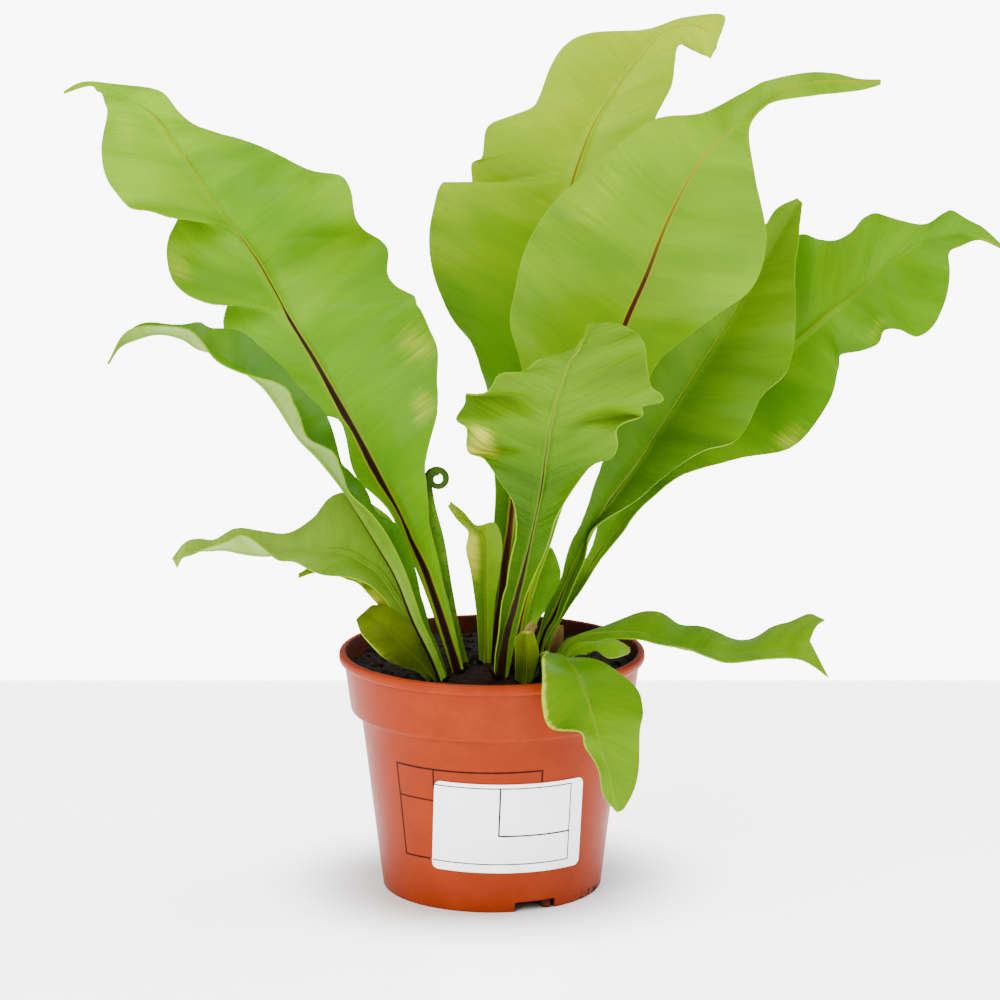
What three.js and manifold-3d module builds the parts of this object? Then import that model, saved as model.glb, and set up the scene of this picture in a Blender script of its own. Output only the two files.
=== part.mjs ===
// A bird's-nest fern in a 12 cm plastic nursery pot, in millimetres, +Z up.
// The pieces are laid out around the pot's axis, x to the right, y away from the front, z up from the foot.
// The whole plant is then moved so that the bottom centre of its bounding box is the origin.
import * as THREE from 'three';
import { mergeVertices } from 'three/addons/utils/BufferGeometryUtils.js';
import Module from 'manifold-3d';

const wasm = await Module();
wasm.setup();

// The pot
const RIM_RADIUS = 60;
const POT_HEIGHT = 94.5;
const BEAD_HEIGHT = 3.6;
const COLLAR_TOP_RADIUS = 57.9;
const COLLAR_FOOT_RADIUS = 55.5;
const COLLAR_FOOT_HEIGHT = 71.4;
const WAIST_RADIUS = 51.4;
const WAIST_HEIGHT = 69.2;
const FOOT_RADIUS = 43.1;
const FOOT_RING_WIDTH = 3.4;
const FLOOR_UNDERSIDE = 3.4;
const FLOOR_TOP = 5;
const WALL = 1.3;
const NOTCH = { width: 17, height: 4, angles: [23, 203] };
const DRAIN = { radius: 4.2, ring: 33, count: 6 };
const POT_SIDES = 48;
const COMPOST_SIDES = 36;
const CROWN_SIDES = 24;
const DRAIN_SIDES = 12;

// What the pot holds
const FIT_GAP = 0.3;
const COMPOST_LEVEL = 88;
const COMPOST_ROUGHNESS = 0.7;
const CROWN = { x: 0, y: -17, radius: 27, foot: 70, shoulder: 86, top: 91 };
const HOLE_CLEARANCE = 0.85;
const HOLE_DEPTH_BELOW_ROOT = 1;
const HOLE_TOP = 99;
const HOLE_SIDES = 8;

// The label on the lower wall
const LABEL = {
  width: 61.6,
  height: 36.4,
  corner: 2.6,
  thickness: 0.35,
  middleHeight: 34.8,
  angle: 9,
  tilt: -1.1,
  columns: 18,
};

// The fronds
const BLADE = 0.7;
const RIB_TOP_SHARE = 0.55;

const COLOURS = {
  pot: 0xc4663f,
  compost: 0x17110f,
  crown: 0x2a1b12,
  label: 0xf2f3f4,
  green: 0x7fae1c,
  lime: 0x9fc72e,
  deep: 0x5f9a1e,
  olive: 0x86a843,
  yellow: 0xa9ad2c,
  scale: 0xb59b63,
};

// Each row is one station of a frond, from its root to its tip: [midrib, left margin, right margin],
// with left and right as they lie when its upper face is seen and the tip points up
const LEFT_TALL = [
  [[-11, -21, 81], [-13, -21, 81], [-9, -21, 81]],
  [[-16, -19, 100], [-18, -20, 99], [-13, -20, 101]],
  [[-25, -14, 127], [-28, -16, 127], [-20, -17, 130]],
  [[-31, -10, 139], [-34, -13, 140], [-23, -16, 143]],
  [[-37, -5, 151], [-41, -9, 154], [-25, -14, 158]],
  [[-45, 1, 165], [-53, -3, 164], [-25, -11, 172]],
  [[-51.2, 5.6, 175.8], [-57, 6, 178], [-22, -5, 187]],
  [[-56.5, 9.6, 185.1], [-60, 10, 184], [-21, -1, 195]],
  [[-61.2, 13, 193.1], [-68, 14, 186], [-21, 3, 203]],
  [[-65.6, 16, 200.5], [-77.2, 18, 194], [-21, 8, 212]],
  [[-69.9, 18.8, 207.4], [-83.5, 20, 201.6], [-24, 12, 219]],
  [[-73.8, 21.1, 213.3], [-96, 27, 212], [-27, 13, 226]],
  [[-76.8, 22.8, 217.9], [-106, 31, 217], [-29, 13, 229]],
  [[-79.3, 24.1, 221.8], [-104, 35, 229], [-30, 14, 232]],
  [[-81.9, 25.6, 226.1], [-106, 17, 228], [-33, 18, 233]],
  [[-84.7, 27.4, 231.2], [-118, 20, 231], [-38, 24, 235]],
  [[-87.9, 29.3, 236.7], [-125, 28, 236], [-41, 30, 239]],
  [[-90.9, 31.1, 241.6], [-128, 37, 242], [-41, 42, 246]],
  [[-93.7, 32.6, 245.7], [-128, 44, 250], [-45, 44, 251]],
  [[-96, 33.7, 249], [-125, 49, 257], [-50, 41, 254]],
  [[-98.2, 34.7, 252.1], [-122, 51, 263], [-53, 34, 259]],
  [[-100.8, 35.9, 255.5], [-124, 30, 260], [-54, 30, 265]],
  [[-104.5, 37.3, 260.1], [-134, 32, 263], [-55, 29, 271]],
  [[-109.2, 39.1, 266.2], [-142, 36, 264], [-59, 32, 277]],
  [[-114.7, 41.1, 273.5], [-147, 40, 268], [-70.6, 38, 278.1]],
  [[-120.7, 43.3, 281.5], [-152, 43, 275], [-82.2, 42, 283.2]],
  [[-126.6, 45.7, 289.3], [-154, 46, 284], [-96, 46, 289]],
  [[-132, 48, 297], [-153, 49, 293], [-109, 49, 292]],
  [[-138, 50, 302], [-152, 51, 300], [-121, 48, 298]],
  [[-144, 51, 305], [-153, 52, 304], [-129, 48, 308]],
  [[-150, 52, 308], [-154, 53, 307], [-138, 50, 310]],
  [[-154, 53, 309], [-156, 53, 308], [-149, 52, 311]],
  [[-158, 53, 311], [-158, 53, 310], [-158, 53, 312]],
  [[-163, 53, 310], [-163, 53, 309], [-164, 53, 311]],
  [[-169, 52, 307], [-169, 52, 307], [-169, 52, 308]],
];

const LEFT_CURLED = [
  [[-16, -27, 81], [-15, -29, 81], [-15, -25, 81]],
  [[-23, -27, 98], [-21, -29, 99], [-20, -25, 99]],
  [[-30, -27, 113], [-27, -30, 114], [-26, -24, 114]],
  [[-36, -26, 129], [-33, -31, 132], [-30, -22, 133]],
  [[-44, -25, 143], [-40, -31, 146], [-36, -20, 148]],
  [[-50, -24, 153], [-46, -32, 156], [-45, -17, 153]],
  [[-55, -23, 161], [-55, -31, 164], [-49, -14, 161]],
  [[-61, -22, 169], [-58, -32, 173], [-54, -12, 168]],
  [[-67, -21, 176], [-60, -32, 180], [-59, -10, 172]],
  [[-74, -20, 183], [-71, -32, 185], [-62, -9, 184]],
  [[-81, -19, 194], [-74, -31, 196], [-64, -8, 191]],
  [[-87, -18, 202], [-77, -30, 203], [-75, -8, 200]],
  [[-93, -18, 207], [-86, -28, 206], [-81, -6, 208]],
  [[-99, -18, 211], [-96, -25, 209], [-90, -4, 217]],
  [[-105, -18, 215], [-105, -26, 214], [-98, -4, 221]],
  [[-112, -18, 217], [-110, -28, 221], [-107, -8, 223]],
  [[-118, -19, 221], [-115, -28, 226], [-112, -10, 226]],
  [[-127, -20, 223], [-126, -26, 227], [-120, -15, 225]],
  [[-136, -22, 221], [-135, -26, 226], [-132, -18, 227]],
  [[-142, -23, 218], [-141, -25, 222], [-139, -20, 223]],
  [[-146, -24, 212], [-146, -25, 212], [-146, -23, 212]],
];

const LEFT_LOW = [
  [[-18, -18, 81], [-19, -19, 81], [-17, -17, 81]],
  [[-25, -20, 97], [-27, -22, 96], [-22, -17, 97]],
  [[-30, -21, 109], [-34, -25, 109], [-25, -16, 111]],
  [[-37, -22, 120], [-41, -28, 121], [-30, -14, 125]],
  [[-43, -24, 130], [-48, -33, 128], [-33, -15, 136]],
  [[-50, -27, 136], [-56, -38, 132], [-36, -16, 145]],
  [[-56, -30, 140], [-64, -42, 134], [-41, -14, 151]],
  [[-64, -33, 141], [-71, -45, 137], [-54, -12, 159]],
  [[-71, -36, 142], [-76, -47, 140], [-62, -17, 159]],
  [[-78, -38, 142], [-81, -50, 142], [-69, -23, 151]],
  [[-85, -40, 141], [-87, -52, 147], [-77, -29, 147]],
  [[-93, -42, 142], [-94, -52, 151], [-86, -34, 149]],
  [[-101, -44, 144], [-100, -51, 149], [-97, -38, 151]],
  [[-107, -45, 144], [-107, -50, 146], [-105, -41, 147]],
  [[-113, -46, 144], [-113, -49, 143], [-111, -43, 148]],
  [[-117, -47, 144], [-117, -50, 142], [-116, -45, 147]],
  [[-120, -48, 140], [-119, -49, 138], [-121, -47, 141]],
];

const LEFT_INNER = [
  [[-19, -25, 81], [-20, -26, 81], [-18, -24, 81]],
  [[-25, -26, 92], [-27, -28, 91], [-24, -25, 94]],
  [[-30, -28, 98], [-34, -32, 95], [-27, -26, 101]],
  [[-35, -31, 104], [-41, -38, 100], [-30, -27, 109]],
  [[-40, -33, 110], [-46, -42, 106], [-35, -27, 114]],
  [[-44, -33, 114], [-50, -40, 111], [-40, -27, 118]],
  [[-49, -29, 116], [-52, -33, 114], [-46, -26, 118]],
];

const LEFT_YELLOW = [
  [[-20, -12, 81], [-21, -13, 81], [-19, -11, 81]],
  [[-25, -14, 97], [-28, -16, 96], [-24, -11, 98]],
  [[-31, -17, 109], [-35, -20, 110], [-28, -11, 112]],
  [[-37, -19, 118], [-43, -24, 117], [-33, -10, 120]],
  [[-42, -21, 123], [-48, -27, 124], [-36, -10, 126]],
  [[-48, -23, 127], [-51, -25, 126], [-43, -11, 130]],
  [[-53, -25, 130], [-55, -29, 129], [-49, -13, 133]],
  [[-59, -27, 133], [-61, -29, 131], [-57, -17, 135]],
  [[-67, -29, 134], [-68, -31, 132], [-65, -23, 135]],
  [[-74, -30, 131], [-74, -31, 130], [-74, -29, 131]],
];

const YELLOWING = [
  [[-3, -8, 81], [-5, -8, 81], [-1, -8, 81]],
  [[-2, -7, 98], [-5, -9, 96], [0, -8, 98]],
  [[-2, -7, 113], [-6, -10, 112], [1, -9, 114]],
  [[-2, -6, 126], [-8, -10, 127], [3, -9, 127]],
  [[-2, -5, 137], [-10, -10, 136], [4, -7, 139]],
  [[-4, -5, 142], [-9, -9, 142], [1, -4, 146]],
  [[-7, -7, 144], [-10, -10, 145], [-6, -5, 145]],
  [[-12, -9, 150], [-14, -10, 149], [-11, -8, 151]],
  [[-16, -12, 155], [-17, -12, 154], [-16, -12, 156]],
];

const BACK_TALL = [
  [[2, -4, 81], [0, -4, 81], [4, -4, 81]],
  [[2, -3, 99], [0, -4, 99], [4, -4, 99]],
  [[4, 0, 115], [0, -3, 115], [7, -3, 115]],
  [[5, 4, 127], [0, 0, 128], [10, 0, 128]],
  [[7, 9, 140], [1, 4, 143], [13, 4, 140]],
  [[9, 16, 159], [1, 10, 162], [17, 9, 157]],
  [[12, 24, 177], [-1, 18, 188], [27, 14, 175]],
  [[16, 32, 200], [-7, 28, 209], [37, 22, 194]],
  [[19, 39, 219], [-16, 34, 221], [47, 30, 210]],
  [[22.6, 44.4, 234.5], [-23, 40, 236], [55, 37, 227]],
  [[25.9, 49.1, 248.7], [-25, 45, 251], [61, 43, 242]],
  [[28.9, 52.8, 260.8], [-23, 46, 263], [65, 49, 255]],
  [[31.4, 55.3, 269.9], [-19, 45, 273], [65, 52, 264]],
  [[33.4, 57, 276.1], [-9, 61, 265], [65, 53, 270]],
  [[34.9, 58.3, 280.4], [-8, 63, 271], [65, 54, 274]],
  [[36.4, 59.7, 284.2], [-8, 63, 278], [65, 56, 280]],
  [[37.9, 60.9, 288.1], [-4, 61, 281], [64, 57, 285]],
  [[39.8, 62, 292.2], [-2, 60, 293], [63, 57, 291]],
  [[42, 63, 296.3], [7, 63, 297], [65, 58, 297]],
  [[44.8, 64, 300.7], [16, 66, 300], [68, 59, 303]],
  [[48.1, 64.9, 305.6], [19, 67, 305], [71, 60, 309]],
  [[51.9, 65.5, 310.9], [23, 66, 316], [72, 60, 316]],
  [[56.2, 65.6, 316.7], [29, 66, 325], [73, 60, 320]],
  [[61.6, 65.1, 323.1], [39, 66, 330], [73, 59, 324]],
  [[68, 64, 330], [61, 67, 331], [75, 56, 326]],
  [[77, 60, 333], [76, 64, 336], [81, 54, 323]],
  [[84, 55, 332], [91, 57, 338], [84, 51, 322]],
  [[88, 50, 325], [90, 51, 331], [86, 49, 321]],
];

const CENTRE_LIME = [
  [[6, -20, 81], [4, -20, 81], [8, -20, 81]],
  [[8, -21, 97], [6, -22, 97], [10, -22, 97]],
  [[9, -21, 105], [7, -23, 106], [12, -23, 105]],
  [[13, -21, 120], [10, -24, 122], [15, -24, 119]],
  [[19, -22, 141], [14, -26, 144], [22, -25, 140]],
  [[27, -24, 168], [17, -27, 171], [31, -27, 167]],
  [[34, -26, 185], [14, -28, 192], [42, -29, 184]],
  [[40, -28, 199], [11, -27, 212], [55, -33, 199]],
  [[46, -30, 214], [7, -26, 227], [62, -35, 213]],
  [[51, -32, 230], [9, -28, 241], [70, -34, 221]],
  [[58, -34, 247], [13, -32, 258], [84, -28, 230]],
  [[65, -36, 266], [23, -32, 274], [99, -30, 243]],
  [[72, -37, 281], [38, -34, 288], [103, -34, 262]],
  [[80, -38, 294], [59, -38, 306], [99, -40, 282]],
  [[88, -39, 301], [79, -37, 309], [96, -45, 295]],
  [[95, -40, 307], [93, -35, 316], [95, -46, 304]],
  [[100, -40, 311], [98, -36, 319], [99, -46, 310]],
  [[105, -41, 315], [103, -38, 321], [106, -45, 314]],
  [[117, -42, 320], [117, -40, 324], [118, -45, 316]],
  [[128, -43, 321], [127, -42, 324], [128, -45, 317]],
  [[136, -44, 321], [136, -43, 322], [137, -45, 318]],
  [[144, -45, 321], [144, -45, 322], [144, -45, 320]],
];

const FRONT_MIDDLE = [
  [[2, -29, 81], [4, -29, 81], [0, -29, 81]],
  [[5, -30, 105], [9, -33, 106], [2, -33, 106]],
  [[9, -32, 119], [12, -36, 120], [4, -36, 121]],
  [[13, -36, 138], [19, -41, 140], [7, -41, 137]],
  [[17, -42, 158], [26, -49, 160], [9, -48, 160]],
  [[19, -47, 171], [36.1, -54, 176.6], [3, -54, 172]],
  [[20, -51, 181], [45, -58, 182], [-3, -58, 182]],
  [[21, -53, 187], [47.5, -60, 188.8], [-9, -57, 184]],
  [[21, -55, 191], [47, -64, 195], [-9, -62, 193]],
  [[22, -57, 195], [56, -60, 198], [-13.1, -67, 198.1]],
  [[23, -59, 200], [56, -66, 203], [-10, -61, 203]],
  [[24, -60, 204], [63, -73, 206], [-9, -57, 207]],
  [[25.1, -62, 208.1], [59.3, -70, 211.8], [-1.3, -64, 208.1]],
  [[26.9, -64, 214.1], [57.5, -67, 218.7], [3.2, -69, 214.6]],
  [[29, -66, 220.1], [56.5, -72, 225.2], [12, -66, 217.1]],
  [[31.2, -67, 224.3], [56.1, -73, 228.3], [18.3, -68, 221.1]],
  [[33.4, -67, 227.7], [53.8, -73, 231.3], [26.4, -66, 219.3]],
  [[36.4, -67, 231.1], [49.5, -71, 233.6], [32.3, -68, 224.5]],
  [[40, -67, 234.4], [44.8, -68, 235], [35.2, -67, 234]],
];

const RIGHT_DARK = [
  [[14, -13, 81], [13, -13, 82], [15, -13, 80]],
  [[19, -12, 101], [18, -14, 102], [21, -14, 101]],
  [[24, -11, 110], [21, -14, 113], [26, -14, 110]],
  [[28, -9, 121], [26, -13, 124], [31, -13, 121]],
  [[34, -7, 134], [30, -12, 137], [36, -11, 134]],
  [[40, -5, 146], [35, -11, 148], [40, -9, 145]],
  [[49, -2, 159], [40, -10, 163], [56, -6, 155]],
  [[58, 1, 171], [44, -9, 175], [66, -5, 164]],
  [[65, 3, 182], [49, -7, 189], [81, -6, 174]],
  [[73, 5, 194], [54, -5, 204], [95, -4, 179]],
  [[81, 7, 206], [61, -2, 219], [104, -4, 195]],
  [[88, 8, 217], [71, 0, 233], [114, -1, 205]],
  [[95, 9, 228], [80, 2, 246], [117, 0, 223]],
  [[102, 10, 241], [92, 4, 257], [117, 3, 238]],
  [[110, 11, 254], [104, 8, 260], [118, 6, 254]],
  [[115, 11, 263], [110, 9, 267], [119, 8, 262]],
  [[119, 11, 270], [118, 10, 271], [120, 11, 269]],
];

const RIGHT_FAR = [
  [[20, -6, 81], [19, -6, 82], [21, -6, 80]],
  [[21.5, -5, 101.7], [19.9, -7, 102.9], [23.5, -7, 100.9]],
  [[33.3, -1, 120.4], [31.6, -4, 122.3], [34.7, -5, 119.3]],
  [[41.1, 2, 131.7], [39.1, 0, 135.4], [42.2, 0, 129.8]],
  [[48.6, 6, 140.9], [42.2, 2, 146.5], [50.4, 1, 140.3]],
  [[56.9, 10, 150.9], [49.3, 6, 156.9], [58.6, 4, 150.5]],
  [[69, 15, 165], [62, 12, 179], [72.8, 8, 161.6]],
  [[86, 20, 181], [78, 21, 202], [95.7, 13, 167.8]],
  [[103, 25, 198], [95, 28, 225], [118, 16, 172]],
  [[120.1, 29, 212.1], [111.2, 32, 243], [132.7, 25, 188.4]],
  [[128.4, 31, 218.9], [120.2, 34, 253.4], [136.6, 31, 200.1]],
  [[134, 33, 223.4], [128.4, 38, 251.3], [137.7, 36, 205.3]],
  [[139.1, 34, 226.8], [135.7, 40, 250.6], [145.7, 33, 207.4]],
  [[143.1, 34.5, 229.9], [141.5, 39, 253.9], [152, 29, 210.9]],
  [[147, 35, 233], [145.6, 38, 259.2], [154.1, 27, 216.4]],
  [[150.5, 35, 236.2], [150.5, 36, 261.8], [159.8, 26, 216.9]],
  [[154.1, 36, 239.6], [156.5, 37, 260.1], [167, 26, 214.1]],
  [[157.9, 36, 243.2], [163.7, 38, 258], [173.8, 28, 218.6]],
  [[162.3, 37, 246.6], [170.1, 38, 257.2], [178.9, 34, 228]],
  [[167.4, 37, 249.4], [174.6, 37, 259.3], [180.4, 35, 238.2]],
  [[172.8, 37, 251.4], [177.9, 35, 262.3], [179.6, 33, 246.4]],
  [[178.6, 36, 252.7], [181, 35, 263.1], [184.6, 33, 249.2]],
  [[184.9, 36, 253.1], [186.6, 35, 259.6], [188.6, 34, 251]],
  [[191.7, 34, 252.6], [193.2, 34, 256.2], [193.7, 34, 251]],
  [[200.2, 29, 249.3], [199.4, 29, 250.5], [200.3, 29, 248.2]],
];

const RIGHT_LOW = [
  [[20, -14, 81], [19, -14, 82], [21, -14, 80]],
  [[28, -15, 97], [27, -13, 99], [29, -16, 97]],
  [[33, -16, 102], [33, -13, 103], [34, -18, 101]],
  [[39, -17, 104], [39, -12, 105], [40, -20, 103]],
  [[48, -18, 105], [48, -8, 107], [49, -22, 104]],
  [[57, -19, 105], [58, -5, 110], [58, -24, 104]],
  [[66, -23, 103], [66, -6, 111], [66, -29, 103]],
  [[74, -25, 101], [74, -8, 106], [75, -32, 102]],
  [[83, -27, 100], [83, -10, 105], [83, -35, 100]],
  [[91, -29, 99], [93, -12, 102], [91, -37, 98]],
  [[99, -30, 100], [101, -13, 102], [100, -38, 99]],
  [[106, -31, 101], [108, -12, 105], [107, -38, 100]],
  [[114, -32, 102], [116, -12, 108], [116, -38, 100]],
  [[118, -33, 104], [123, -13, 112], [122, -40, 98]],
  [[122, -33, 106], [129, -15, 110], [129, -42, 93]],
];

const RIGHT_INNER = [
  [[20, -22, 81], [19, -21, 82], [21, -23, 80]],
  [[30, -25, 98], [29, -23, 99], [31, -27, 97]],
  [[35, -28, 102], [34, -25, 103], [36, -32, 100]],
  [[40, -31, 104], [41, -26, 104], [40, -37, 103]],
  [[44, -33, 104], [46, -27, 105], [44, -40, 101]],
  [[48, -34, 104], [50, -29, 104], [48, -40, 101]],
  [[53, -35, 102], [53, -34, 103], [52, -36, 101]],
];

const FRONT_DROOPING = [
  [[13, -25, 81], [12, -26, 82], [14, -24, 80]],
  [[17, -28, 94], [15, -30, 95], [18, -27, 93]],
  [[20, -35, 99], [18, -38, 101], [22, -33, 98]],
  [[25, -45, 103], [21, -51, 106], [29, -41, 101]],
  [[29, -54, 102], [19, -61, 106], [37, -48, 102]],
  [[33, -61, 98], [19, -66, 100], [46, -55, 100]],
  [[36, -65, 91], [19, -68, 90], [55, -60, 94]],
  [[38, -67, 85], [22, -70, 81], [57, -62, 86]],
  [[40, -68, 78], [33, -72, 80], [56, -64, 79]],
  [[42, -69, 71], [35, -71, 74], [56, -65, 69]],
  [[44, -69, 64], [40, -71, 66], [55, -66, 61]],
  [[46, -69, 56], [42, -70, 55], [53, -67, 54]],
  [[48, -69, 48], [47, -69, 48], [50, -69, 49]],
];

const FRONT_STUB = [
  [[11, -33, 81], [9, -33, 81], [13, -33, 81]],
  [[13, -36, 93], [9, -37, 93], [16, -37, 93]],
  [[13, -38, 101], [9, -40, 102], [18, -40, 102]],
  [[13, -39, 107], [9, -41, 108], [17, -41, 107]],
  [[13, -39, 111], [11, -40, 111], [16, -40, 111]],
];

const BACK_SHORT = [
  [[11, -6, 81], [9, -6, 82], [13, -6, 80]],
  [[13, -4, 95], [11, -5, 96], [15, -5, 94]],
  [[15, 0, 104], [11, -2, 107], [18, -1, 106]],
  [[17, 6, 113], [11, 4, 116], [24, 4, 113]],
  [[19, 12, 120], [12, 12, 125], [27, 11, 121]],
  [[21, 18, 127], [17, 19, 129], [26, 17, 126]],
  [[22, 21, 131], [21, 21, 131], [24, 21, 130]],
];

const SCALE_BACK = [
  [[9, -13, 82], [8, -13, 82], [10, -13, 82]],
  [[11, -12, 94], [9, -12, 94], [12, -12, 94]],
  [[13, -11, 102], [11, -11, 103], [15, -11, 102]],
  [[17, -10, 107], [15, -10, 108], [18, -10, 106]],
];

const SCALE_RIGHT = [
  [[22, -2, 82], [21, -2, 82], [23, -2, 82]],
  [[24, -2, 94], [22, -2, 94], [26, -2, 94]],
  [[25, -1, 99], [23, -1, 100], [28, -1, 99]],
  [[27, 0, 104], [26, 0, 105], [28, 0, 104]],
];

// steps: stations of the solid; rib: half width of the midrib at the root, which thins to the tip;
// waves and swing: the number and height of the ripples along a margin;
// arch: how far each half is bowed, per mm of its width
const FRONDS = [
  {
    name: 'frond_left_tall', tone: 'green', rows: LEFT_TALL,
    steps: 34, rib: 2.1, waves: 7, swing: 0.5, arch: 0.05,
  },
  {
    name: 'frond_left_curled', tone: 'green', rows: LEFT_CURLED,
    steps: 24, rib: 1.6, waves: 7, swing: 1, arch: 0.03,
  },
  {
    name: 'frond_left_low', tone: 'green', rows: LEFT_LOW,
    steps: 18, rib: 1.5, waves: 5, swing: 1, arch: 0.03,
  },
  {
    name: 'frond_left_inner', tone: 'deep', rows: LEFT_INNER,
    steps: 10, rib: 1.3, waves: 2, swing: 0.6, arch: 0.05,
  },
  {
    name: 'frond_left_yellow', tone: 'yellow', rows: LEFT_YELLOW,
    steps: 13, rib: 1.3, waves: 4, swing: 0.8, arch: 0.03,
  },
  {
    name: 'frond_yellowing', tone: 'yellow', rows: YELLOWING,
    steps: 11, rib: 1.5, waves: 3, swing: 0.5, arch: 0.05,
  },
  {
    name: 'frond_back_tall', tone: 'lime', rows: BACK_TALL,
    steps: 27, rib: 2.1, waves: 6, swing: 0.8, arch: 0.05,
  },
  {
    name: 'frond_centre_lime', tone: 'lime', rows: CENTRE_LIME,
    steps: 23, rib: 2.1, waves: 5, swing: 1.4, arch: 0.05,
  },
  {
    name: 'frond_front_middle', tone: 'olive', rows: FRONT_MIDDLE,
    steps: 27, rib: 1.8, waves: 7, swing: 0.8, arch: 0.04,
  },
  {
    name: 'frond_right_dark', tone: 'deep', rows: RIGHT_DARK,
    steps: 20, rib: 2, waves: 6, swing: 0.9, arch: 0.05,
  },
  {
    name: 'frond_right_far', tone: 'green', rows: RIGHT_FAR,
    steps: 24, rib: 1.6, waves: 6, swing: 0.4, arch: 0.04,
  },
  {
    name: 'frond_right_low', tone: 'green', rows: RIGHT_LOW,
    steps: 16, rib: 1.4, waves: 4, swing: 0.4, arch: 0.05,
  },
  {
    name: 'frond_right_inner', tone: 'green', rows: RIGHT_INNER,
    steps: 9, rib: 1.2, waves: 2, swing: 0.5, arch: 0.05,
  },
  {
    name: 'frond_front_drooping', tone: 'green', rows: FRONT_DROOPING,
    steps: 17, rib: 1.1, waves: 4, swing: 0.6, arch: 0.05,
  },
  {
    name: 'frond_front_stub', tone: 'deep', rows: FRONT_STUB,
    steps: 7, rib: 1.3, waves: 1, swing: 0.3, arch: 0.05,
  },
  {
    name: 'frond_back_short', tone: 'green', rows: BACK_SHORT,
    steps: 10, rib: 1.3, waves: 2, swing: 0.5, arch: 0.08,
  },
  {
    name: 'dry_scale_back', tone: 'scale', rows: SCALE_BACK,
    steps: 4, rib: 0.7, waves: 1, swing: 0.2, arch: 0.05,
  },
  {
    name: 'dry_scale_right', tone: 'scale', rows: SCALE_RIGHT,
    steps: 4, rib: 0.7, waves: 1, swing: 0.2, arch: 0.05,
  },
];

// The young frond that is still rolled up at its tip
const CROZIER = {
  stem: [[-8, -13, 81], [-14, -10, 101], [-18, -9, 120], [-21, -8, 139], [-24, -8, 153], [-25, -8, 164]],
  rootRadius: 1.9,
  neckRadius: 1.5,
  tipRadius: 0.9,
  swell: 1.1,
  coilRadius: 4,
  coilEndRadius: 2.1,
  turns: 1.3,
  steps: 34,
  sides: 8,
};

const radians = THREE.MathUtils.degToRad;
const point = ([x, y, z]) => new THREE.Vector3(x, y, z);

// Geometry to and from a closed solid that can be joined and cut
function toSolid(geometry) {
  const bare = geometry.clone();
  bare.deleteAttribute('normal');
  bare.deleteAttribute('uv');
  const merged = mergeVertices(bare, 1e-4);
  return new wasm.Manifold(new wasm.Mesh({
    numProp: 3,
    vertProperties: new Float32Array(merged.attributes.position.array),
    triVerts: new Uint32Array(merged.index.array),
  }));
}

function toGeometry(solid) {
  const mesh = solid.getMesh();
  const geometry = new THREE.BufferGeometry();
  geometry.setAttribute('position', new THREE.BufferAttribute(new Float32Array(mesh.vertProperties), 3));
  geometry.setIndex(new THREE.BufferAttribute(new Uint32Array(mesh.triVerts), 1));
  geometry.computeVertexNormals();
  return geometry;
}

// A profile of [radius, height] pairs turned round the vertical axis
function turned(profile, sides) {
  const points = profile.map(([radius, height]) => new THREE.Vector2(radius, height));
  const geometry = new THREE.LatheGeometry(points, sides);
  geometry.rotateX(Math.PI / 2);
  return geometry;
}

function upright(radius, low, high, sides) {
  const geometry = new THREE.CylinderGeometry(radius, radius, high - low, sides);
  geometry.rotateX(Math.PI / 2);
  geometry.translate(0, 0, (high + low) / 2);
  return geometry;
}

// The place at an angle round the pot, in degrees from the front towards the right
function around(radius, degrees, height) {
  const angle = radians(degrees);
  return new THREE.Vector3(radius * Math.sin(angle), -radius * Math.cos(angle), height);
}

function lowerWallRadius(height) {
  return FOOT_RADIUS + (WAIST_RADIUS - FOOT_RADIUS) * height / WAIST_HEIGHT;
}

// The inner face of the pot, from the floor up to the rim
function innerProfile(inset) {
  const step = WALL + inset;
  return [
    [lowerWallRadius(FLOOR_TOP) - step, FLOOR_TOP + inset],
    [WAIST_RADIUS - step, WAIST_HEIGHT - 0.5],
    [COLLAR_FOOT_RADIUS - step, COLLAR_FOOT_HEIGHT + 1.6],
    [COLLAR_TOP_RADIUS - step, POT_HEIGHT - BEAD_HEIGHT],
  ];
}

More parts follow.
